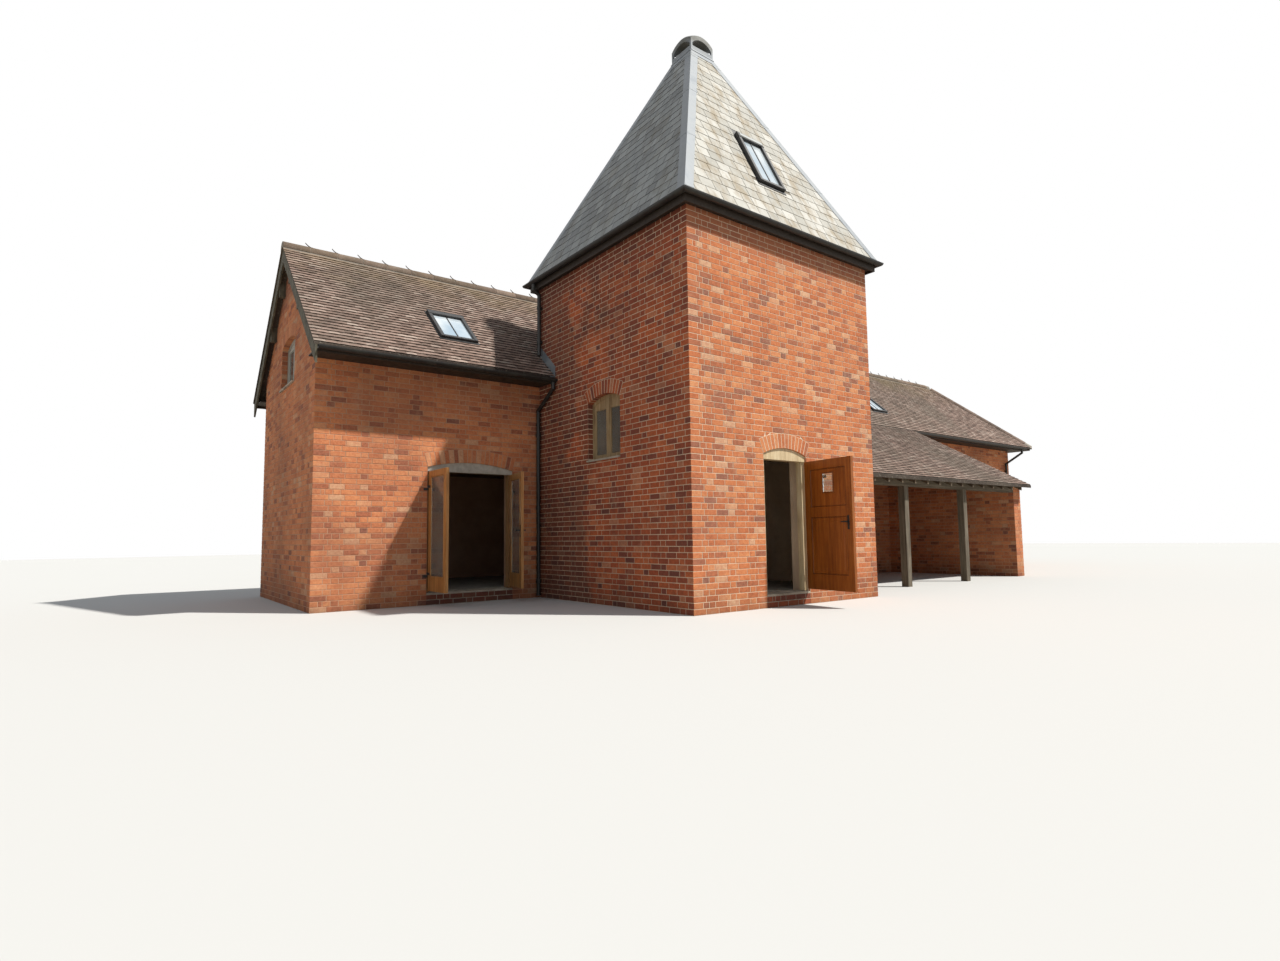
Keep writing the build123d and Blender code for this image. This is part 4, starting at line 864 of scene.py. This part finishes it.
def iron_finish(name, colour, dusty, roughness):
    look = Finish(name, roughness, 0.5, colour=colour)
    worn = look.noise(7, 6, 0.65)
    look.stain(worn, 0.45, 0.75, dusty, 0.7)
    look.put("Roughness", look.ramp(worn, (0.3, roughness), (0.7, roughness + 0.25)))
    return look.done(look.noise(120, 3), 0.0008, 0.5)


stained_brown = [(0.02, 0.015, 0.012), (0.037, 0.028, 0.022), (0.062, 0.048, 0.038)]
fascia_timber = timber_finish("fascia_timber", stained_brown, (1.0, 1.0, 3.0), 0.7)
dress(["kiln_fascia", "range_fascias", "kiln_wall_plate"], fascia_timber)
black_iron = iron_finish("black_iron", (0.013, 0.013, 0.014), (0.046, 0.048, 0.04), 0.4)
dress(["kiln_gutter", "range_gutters", "downpipes"], black_iron)
gutter_radius = 0.055
strap_half = 0.014
strap_spacing = 0.95
pipe_radius = 0.034
collar_radius = 0.043
collar_height = 0.065


def gutter_strap(pile, place, along, back, rim):
    """Strap that carries a gutter, from its back edge round under it. v is out of the wall and n is up."""
    rings = []
    for u in (along - strap_half, along + strap_half):
        ring = []
        for radius, steps in ((gutter_radius + 0.0022, range(9)), (gutter_radius - 0.0005, range(8, -1, -1))):
            for i in steps:
                angle = radians(180 + 158 * i / 8)
                ring.append(place(u, back + gutter_radius + radius * cos(angle), rim + radius * sin(angle)))
        rings.append(ring)
    pile.loft(rings, foot=True)


def pipe_collar(pile, x, y, foot, head, radius):
    ring = [(cos(tau * i / 20), sin(tau * i / 20)) for i in range(20)]
    levels = [(foot, pipe_radius), (foot, radius), (head - 0.006, radius)]
    levels += [(head, radius - 0.004), (head, pipe_radius)]
    pile.loft([[Vector((x + r * c, y + r * s, z)) for c, s in ring] for z, r in levels], head=False)


ironwork = Pile()
kiln_gutter_back, kiln_gutter_rim, range_gutter_rim = 2.172, 5.703, 3.818
for out_x, out_y in kiln_slopes.values():
    place = surface((0, 0, 0), (out_y, -out_x, 0), (out_x, out_y, 0))
    for u in (-2.05, -1.23, -0.41, 0.41, 1.23, 2.05):
        gutter_strap(ironwork, place, u, kiln_gutter_back, kiln_gutter_rim)
for y, side, stretches in ((1.508, -1, [(-5.9, -2.08), (9.3, 15.95)]), (6.752, 1, [(-5.9, 15.95)])):
    place = surface((0, y, 0), (side, 0, 0), (0, side, 0))
    for west, east in stretches:
        count = round((east - west) / strap_spacing)
        for i in range(count + 1):
            along = side * (west + (east - west) * i / count)
            gutter_strap(ironwork, place, along, 0.0, range_gutter_rim)
for x, y in ((-2.114, 1.986), (15.7, 1.986), (15.7, 6.274), (-5.53, 6.274)):
    for height in (0.26, 1.55, 2.85):
        pipe_collar(ironwork, x, y, height, height + collar_height, collar_radius)
    pipe_collar(ironwork, x, y, 0.04, 0.075, 0.04)
for height in (4.56, 5.2):
    pipe_collar(ironwork, -2.114, 1.95, height, height + collar_height, collar_radius)
ironwork.piece("gutter_straps_and_collars", black_iron, "cast_iron")

# West verge: weathered softwood bargeboards tucked under the tiles, with the purlins' ends behind them
# and a fillet of mortar bedding the verge tiles.
weathered = [(0.055, 0.05, 0.036), (0.105, 0.095, 0.068), (0.17, 0.155, 0.115)]
weathered_board = timber_finish("weathered_bargeboard", weathered, (1.0, 0.3, 0.3), 0.85)
dress(["range_bargeboards", "range_purlin_ends"], weathered_board)


def raised(pile, place, u_span, v_span, steps):
    """Rectangle built up from a surface in steps, each a height and how far its edges are set in."""
    (u0, u1), (v0, v1) = u_span, v_span
    rings = []
    for n, inset in steps:
        left, right, low, high = u0 + inset, u1 - inset, v0 + inset, v1 - inset
        ring = [(left, low), (right, low), (right, high), (left, high)]
        if steps[-1][0] < steps[0][0]:
            ring.reverse()
        rings.append([place(u, v, n) for u, v in ring])
    pile.loft(rings)


fillet = Pile()
for place, start in ((south_roof, 0.001), (north_roof, roof_length - 0.034)):
    for i in range(35):
        v_span = (0.02 + i * tile_gauge, min(0.118 + i * tile_gauge, slope_length))
        steps = ((-0.004, 0), (random.uniform(0.001, 0.003), 0))
        raised(fillet, place, (start, start + 0.033), v_span, steps)
fillet.piece("verge_fillet", bedding_mortar, "clay_tile")

# Windows: oak frames set back in the brickwork on stone sills, each with two lights. A casement of slimmer
# section closes each light, its glass held in a bevelled rebate, and a solid oak spandrel fills the head.
window_tones = [(0.21, 0.135, 0.07), (0.38, 0.27, 0.15), (0.53, 0.41, 0.26)]
gable_tones = [(0.26, 0.24, 0.2), (0.42, 0.41, 0.37), (0.55, 0.54, 0.5)]
frame_grain = (1.0, 1.0, 0.08)
window_oak = timber_finish("window_oak", window_tones, frame_grain, 0.65)
pale_oak = timber_finish("gable_window_oak", gable_tones, frame_grain, 0.7)
dress(["kiln_window_frame", "range_windows_frame"], window_oak)
dress(["gable_window_frame"], pale_oak)
frame_face = 0.056
mullion_half = 0.031
sash_back = -0.114
sash_face = 0.036
sash_foot = 0.045


def bar(pile, place, u_span, v_span, n_span, arris=0.002):
    """Planed bar with its front edges eased."""
    back, front = n_span
    shoulder = front - copysign(arris, front - back)
    raised(pile, place, u_span, v_span, ((back, 0), (shoulder, 0), (front, arris)))


def framed(pile, place, u_span, v_span, n_span, width, arris=0.002, foot=None):
    """Four bars round a rectangle, the upright ones running through."""
    (u0, u1), (v0, v1) = u_span, v_span
    inner = (u0 + width, u1 - width)
    for u_bar in ((u0, u0 + width), (u1 - width, u1)):
        bar(pile, place, u_bar, v_span, n_span, arris)
    for v_bar in ((v0, v0 + (foot or width)), (v1 - width, v1)):
        bar(pile, place, inner, v_bar, n_span, arris)


def casements(pile, place, opening, head_line, rail=None):
    """Two sashes with their glazing rebates, a rail where one is given, and the spandrel over them."""
    inner = opening.radius - 0.055
    foot_line = opening.bottom + frame_face
    edge = opening.width / 2 - frame_face
    for start, end in ((-edge, -mullion_half), (mullion_half, edge)):
        left, right = opening.u + start, opening.u + end
        light, glass = (left + sash_face, right - sash_face), (foot_line + sash_foot, head_line - sash_face)
        sash = (left, right), (foot_line, head_line)
        framed(pile, place, *sash, (sash_back, -0.097), sash_face, 0.003, sash_foot)
        framed(pile, place, light, glass, (sash_back, -0.108), 0.007)
        if rail:
            bar(pile, place, light, (rail - 0.011, rail + 0.011), (sash_back, -0.101), 0.004)
        board = [(left, head_line + 0.001), (right, head_line + 0.001)]
        for i in range(9):
            u = right - (right - left) * i / 8
            board.append((u, opening.centre + sqrt(inner**2 - (u - opening.u) ** 2)))
        pile.plate(place, board, -0.136, -0.1)


south_face, north_face, west_face = (range_walls[side][0] for side in ("south", "north", "west"))
range_lights = [(south_face, south_window)] + [(north_face, window) for window in north_windows]
for name, material, lights in (
    ("kiln_window_casements", window_oak, [(kiln_west, kiln_window_opening, 3.125)]),
    ("gable_window_casements", pale_oak, [(west_face, gable_window, 4.44)]),
    ("range_window_casements", window_oak, [(*light, 2.03, 1.62) for light in range_lights]),
):
    joinery = Pile()
    for light in lights:
        casements(joinery, *light)
    joinery.piece(name, material, "frame_oak")


def stone_finish(name, dark, mid, pale):
    look = Finish(name, 0.85, 0.3)
    cloudy = look.noise(5, 8, 0.65)
    look.colour = look.ramp(cloudy, (0.3, dark), (0.5, mid), (0.72, pale))
    grit = look.noise(150, 4, 0.6)
    look.mottle(0.4, grit, (0.3, 0.3), (0.7, 0.7))
    return look.done(look.sums("ADD", grit, cloudy), 0.003, 0.6)


sill_stone = stone_finish("sill_stone", (0.3, 0.26, 0.21), (0.46, 0.41, 0.34), (0.6, 0.55, 0.47))
dress(["window_sills", "door_steps"], sill_stone)
look = Finish("window_pane", 0.03, 0.6)
look.put("Transmission Weight", 0.9)
look.put("IOR", 1.45)
wavy = look.noise(1.8, 3)
look.colour = look.ramp(wavy, (0.3, (0.62, 0.7, 0.7)), (0.7, (0.74, 0.8, 0.78)))
pane = look.done(wavy, 0.004, 0.25)
dress(["window_glass", "kiln_door_glass", "french_door_left_glass", "french_door_right_glass"], pane)

# Roof windows: steel lights with a centre bar, standing up out of the slates and tiles. Frame, apron and
# side soakers are coated black. The slim rim inside is grey, and so is a strip on the kiln window's hood.
black_steel = iron_finish("roof_window_black", (0.014, 0.015, 0.017), (0.055, 0.055, 0.055), 0.35)
grey_steel = iron_finish("roof_window_grey", (0.36, 0.38, 0.38), (0.5, 0.51, 0.5), 0.4)
dress(["roof_window_frames"], black_steel)
# The roof windows' panes are opaque, coloured from blue to pale grey as a painted reflection of the sky.
look = Finish("roof_window_painted_sky", 0.06, 0.9)
look.colour = look.ramp(look.noise(1.3, 5, 0.5), (0.38, (0.3, 0.42, 0.53)), (0.62, (0.62, 0.68, 0.72)))
dress(["roof_window_glass"], look.done())
black_parts, grey_parts, aprons = Pile(), Pile(), Pile()
roof_windows = [(kiln_slope_surface(0, -1), 0.29, window_low, 2.05, 0.012)]
for x in roof_window_places:
    place = surface((x, eaves_south, eaves_height), (1, 0, 0), (0, range_cos, range_sin))
    roof_windows.append((place, 0.325, 0.83, 1.76, 0.017))
for place, half, low, high, cover in roof_windows:
    rim, jamb, hood, soaker = half - 0.056, half - 0.058, half + 0.008, half + 0.03
    framed(grey_parts, place, (-rim, rim), (low + 0.056, high - 0.056), (0.02, 0.034), 0.012)
    bar(black_parts, place, (-0.011, 0.011), (low + 0.076, high - 0.076), (0.02, 0.037), 0.003)
    for edge in ((-half - 0.006, -jamb), (jamb, half + 0.006)):
        bar(black_parts, place, edge, (low - 0.004, high), (0.0, 0.066), 0.006)
    bar(black_parts, place, (-jamb, jamb), (low - 0.004, low + 0.052), (0.0, 0.062), 0.006)
    bar(black_parts, place, (-hood, hood), (high - 0.105, high + 0.014), (0.0, 0.074), 0.006)
    if half < 0.3:
        strip = hood - 0.03
        bar(grey_parts, place, (-strip, strip), (high - 0.088, high - 0.018), (0.07, 0.084), 0.006)
    bar(aprons, place, (-soaker, soaker), (low - 0.06, low - 0.002), (0.0, cover + 0.002), 0.002)
    for edge in ((-soaker, -half - 0.002), (half + 0.002, soaker)):
        bar(aprons, place, edge, (low, high + 0.03), (0.0, cover - 0.001), 0.001)
    bar(aprons, place, (-soaker, soaker), (high + 0.012, high + 0.16), (0.0, 0.004), 0.001)
black_parts.piece("roof_window_caps", black_steel, "black_paint")
grey_parts.piece("roof_window_hoods", grey_steel, "lead")
aprons.piece("roof_window_aprons", black_steel, "black_paint")

# Kiln door: an oak leaf of stiles and rails round two panels with bead mouldings, a small light in the
# upper one, black strap hinges on pins and a black lever. It stands open, hung on its east side.
door_tones = [(0.195, 0.05, 0.007), (0.325, 0.095, 0.014), (0.42, 0.143, 0.027)]
# The bead mouldings take a darker copy of the door's oak, as painted shade round the panels.
shaded_moulding_tones = [(0.1, 0.028, 0.005), (0.2, 0.06, 0.01), (0.3, 0.1, 0.02)]
# The door frame's pale cream is partly its own colour and partly painted sunlight on the jamb.
door_frame_sunlit_tones = [(0.5, 0.38, 0.22), (0.71, 0.57, 0.36), (0.79, 0.67, 0.46)]
door_grain = (1.0, 1.0, 0.07)
door_oak = timber_finish("door_oak", door_tones, door_grain, 0.42, 0.45)
shaded_moulding_oak = timber_finish("door_moulding_oak", shaded_moulding_tones, door_grain, 0.5, 0.45)
frame_oak = timber_finish("door_frame_oak_sunlit", door_frame_sunlit_tones, frame_grain, 0.6)
kiln_hinge = (0.305, -2.06)
leaf_thickness = 0.044


def iron_eyes(oak, hinges):
    """Turns a leaf's wood to iron within a strap eye's radius of its upright hinge axis."""
    tree = oak.node_tree
    base = tree.nodes["Principled BSDF"].inputs["Base Color"]
    flat = node(tree, "Mapping", {"Vector": node(tree, "TexCoord").outputs["Object"], "Scale": (1, 1, 0)})
    for x, y in hinges:
        away = node(tree, "VectorMath", {0: flat.outputs["Vector"], 1: (x, y, 0)}, operation="DISTANCE")
        wood = node(tree, "Math", {0: away.outputs["Value"], 1: 0.0097}, operation="GREATER_THAN")
        inputs = {0: wood.outputs[0], 6: (0.022, 0.022, 0.024), 7: base.links[0].from_socket}
        plug(tree, base, node(tree, "Mix", inputs, data_type="RGBA").outputs[2])


iron_eyes(door_oak, [kiln_hinge])
dress(["kiln_door"], door_oak)
dress(["kiln_door_frame"], frame_oak)
dress(["door_hinge_pins"], black_iron)


def leaf_surface(hinge, side, opened):
    """A door leaf at rest: u from its hinge, negative on a right-hand leaf, v up and n out of its face."""
    swing = radians((180 if side > 0 else 0) + side * opened)
    away = Vector((cos(swing), sin(swing), 0))
    out = Vector((-away.y, away.x, 0)) * side
    return surface(Vector((*hinge, 0)) - out * 0.01, away * -side, (0, 0, 1))


def both_faces(pile, place, u_span, v_span, depth, rise, width, arris):
    """The same moulding on the front and the back of a leaf, depth below each face."""
    framed(pile, place, u_span, v_span, (-depth, -depth + rise), width, arris)
    back = depth - leaf_thickness
    framed(pile, place, u_span, v_span, (back, back - rise), width, arris)


def lever_handle(pile, place, u, v, towards):
    """Plate, lever and keyhole cover on each face of a leaf."""
    for base, sign in ((0.0, 1), (-leaf_thickness, -1)):
        bar(pile, place, (u - 0.019, u + 0.019), (v - 0.11, v + 0.09), (base, base + sign * 0.004), 0.0015)
        bar(pile, place, (u - 0.011, u + 0.011), (v - 0.011, v + 0.011), (base, base + sign * 0.048), 0.002)
        grip = sorted((u - towards * 0.008, u + towards * 0.105))
        bar(pile, place, grip, (v - 0.008, v + 0.01), (base + sign * 0.038, base + sign * 0.052), 0.005)
        bar(pile, place, (u - 0.006, u + 0.006), (v - 0.085, v - 0.067), (base, base + sign * 0.006), 0.002)


def strap_skins(pile, place, side, length):
    """Iron straps across a leaf from its hinges, each with three nail heads."""
    for low in (0.48, 1.88):
        u_span = sorted((-side * 0.009, -side * (length + 0.0025)))
        bar(pile, place, u_span, (low - 0.0005, low + 0.0408), (0.0, 0.0068), 0.002)
        for share in (0.2, 0.55, 0.9):
            u = -side * length * share
            bar(pile, place, (u - 0.006, u + 0.006), (low + 0.014, low + 0.026), (0.0, 0.0095), 0.003)


kiln_leaf = leaf_surface(kiln_hinge, 1, 83)
mouldings, fields, door_iron = Pile(), Pile(), Pile()
for v_span in ((0.455, 1.3), (1.45, 2.02)):
    both_faces(mouldings, kiln_leaf, (-0.825, -0.12), v_span, 0.0125, 0.0095, 0.016, 0.005)
both_faces(mouldings, kiln_leaf, (-0.5845, -0.3605), (1.653, 1.957), 0.0125, 0.008, 0.017, 0.004)
mouldings.piece("kiln_door_mouldings", shaded_moulding_oak, "door_oak", "kiln_door")
for face, rise in ((-0.0125, -0.0065), (-0.0315, -0.0375)):
    raised(fields, kiln_leaf, (-0.775, -0.17), (0.505, 1.25), ((face, 0), (rise, 0.028)))
fields.piece("kiln_door_panel_fields", door_oak, "door_oak", "kiln_door")
lever_handle(door_iron, kiln_leaf, -0.855, 1.22, 1)
strap_skins(door_iron, kiln_leaf, 1, 0.42)
door_iron.piece("kiln_door_ironwork", black_iron, "cast_iron", "kiln_door")

# French doors: a pair of fully glazed oak leaves that open outwards under a painted timber head, shaped
# to the arch. Bevelled beads hold the glass, and short straps on pins carry the leaves.
leaf_tones = [(0.3, 0.125, 0.035), (0.5, 0.24, 0.075), (0.62, 0.34, 0.125)]
leaf_oak = timber_finish("french_door_oak", leaf_tones, door_grain, 0.45, 0.45)
left_hinge, right_hinge = (-4.105, 2.04), (-2.595, 2.04)
french_leaf_width = 0.726
iron_eyes(leaf_oak, [left_hinge, right_hinge])
dress(["french_door_left", "french_door_right"], leaf_oak)
look = Finish("french_door_frame_paint", 0.55, 0.35)
figure = look.noise(22, 7, 0.65, frame_grain)
look.colour = look.ramp(figure, (0.3, (0.26, 0.13, 0.05)), (0.7, (0.45, 0.25, 0.11)))
paint = look.ramp(look.noise(9, 8, 0.7), (0.35, (0.36, 0.34, 0.3)), (0.65, (0.56, 0.54, 0.49)))
look.stain(look.sums("SUBTRACT", look.axis("Z"), 1.66), 0.496, 0.497, paint)
dress(["french_door_frame"], look.done(figure, 0.002, 0.5))
for name, side, hinge, opened in (("left", -1, left_hinge, 90), ("right", 1, right_hinge, 78)):
    place = leaf_surface(hinge, side, opened)
    beads, irons = Pile(), Pile()
    near, far = 0.105, french_leaf_width - 0.085
    u_span = sorted((-side * near, -side * far))
    both_faces(beads, place, u_span, (0.456, 2.054), 0.0098, 0.008, 0.013, 0.004)
    beads.piece(f"french_door_{name}_beads", leaf_oak, "door_oak", f"french_door_{name}")
    strap_skins(irons, place, side, 0.085)
    if name == "right":
        lever_handle(irons, place, -far - 0.048, 1.18, side)
    irons.piece(f"french_door_{name}_ironwork", black_iron, "cast_iron", f"french_door_{name}")

# Porch: green oak posts and beam, silvered by the weather, under close-set rafters with bare ends. A brick
# wall of the range's bricks closes the east end, cut to the rafters.
silvered = [(0.085, 0.07, 0.052), (0.165, 0.14, 0.105), (0.27, 0.235, 0.185)]
rafter_tones = [(0.07, 0.05, 0.034), (0.13, 0.098, 0.066), (0.2, 0.16, 0.115)]
dress(["porch_posts"], timber_finish("porch_post_oak", silvered, (1.0, 1.0, 0.06), 0.85))
dress(["porch_beam"], timber_finish("porch_beam_oak", silvered, (0.06, 1.0, 1.0), 0.85))
dress(["porch_rafters"], timber_finish("porch_rafter_oak", rafter_tones, (1.0, 0.08, 0.1), 0.85))
end_wall_west, end_wall_east, end_wall_front, end_wall_length = 8.83, 9.16, -1.275, 3.325


def under_porch(v):
    """Front edge of the porch's end wall at a height, under the rafters and the range roof."""
    return max(0.0, (v - 2.2) / porch_slope)


porch_bricks = Pile()
lay_wall(porch_bricks, wall_face(end_wall_west, end_wall_front, 1, 0), 0.33, 0.0, 2.2, burnt=0.1)
for place, edges in (
    (wall_face(end_wall_east, end_wall_front, 0, 1), lambda v: (under_porch(v), 3.33)),
    (wall_face(end_wall_west, range_south, 0, -1), lambda v: (-0.1, end_wall_length - under_porch(v))),
):
    lay_wall(porch_bricks, place, end_wall_length, 0.0, 3.77, laps=1, burnt=0.1, edges=edges)
porch_bricks.piece("porch_bricks", range_brick, "range_brick")

# Floors and steps: stone flags on the two ground floors and elm boards on the range's upper floor. The
# stone step at each doorway stands on two courses of brick.
flags = stone_finish("floor_flags", (0.2, 0.18, 0.15), (0.3, 0.27, 0.23), (0.4, 0.37, 0.32))
dress(["kiln_floor", "range_floor"], flags)
elm_tones = [(0.12, 0.07, 0.04), (0.22, 0.14, 0.08), (0.31, 0.21, 0.13)]
dress(["range_upper_floor"], timber_finish("floor_elm", elm_tones, (0.07, 1.0, 1.0), 0.6))
risers = Pile()
for x, y, length in ((-0.64, -kiln_half, 0.95), (-4.11, range_south, 1.52)):
    lay_wall(risers, wall_face(x, y, 1, 0), length, 0.0, 0.163, burnt=0.2)
risers.piece("step_risers", kiln_brick, "kiln_brick")

# Backdrop and light: a plain pale floor in a white surround, with the sun in the south east. Only the
# camera, reflections and glass see the surround as white. To the building it is a faint blue sky.
look = Finish("pale_floor", 0.9, 0.1, colour=(0.42, 0.38, 0.32))
look.cover(node(look.tree, "LightPath").outputs["Is Camera Ray"], (0.64, 0.64, 0.63))
ground = bpy.data.meshes.new("ground")
ground.from_pydata([(-60, -60, 0), (60, -60, 0), (60, 60, 0), (-60, 60, 0)], [], [(0, 1, 2, 3)])
ground.materials.append(look.done())
ground_plane = bpy.data.objects.new("ground", ground)
scene.collection.objects.link(ground_plane)

sun = bpy.data.objects.new("sun", bpy.data.lights.new("sun", "SUN"))
sun.data.energy = 4.5
sun.data.angle = radians(1.5)
sun.data.color = (1.0, 0.965, 0.9)
sun.rotation_euler = Vector((0.4, -0.46, 0.79)).to_track_quat("Z", "Y").to_euler()
scene.collection.objects.link(sun)

world = bpy.data.worlds.new("world")
scene.world = world
world.use_nodes = True
tree = world.node_tree
tree.nodes.clear()
rays = node(tree, "LightPath").outputs
seen = rays["Is Camera Ray"]
for ray in ("Is Glossy Ray", "Is Transmission Ray"):
    seen = node(tree, "Math", {0: seen, 1: rays[ray]}, operation="MAXIMUM").outputs[0]
lighting = node(tree, "Background", {"Color": (0.86, 0.93, 1.0), "Strength": 0.38})
surround = node(tree, "Background", {"Color": (1.0, 1.0, 1.0), "Strength": 1.0})
chosen = node(tree, "MixShader", {0: seen, 1: lighting.outputs[0], 2: surround.outputs[0]})
node(tree, "OutputWorld", {"Surface": chosen.outputs[0]})
scene.view_settings.view_transform = "Standard"
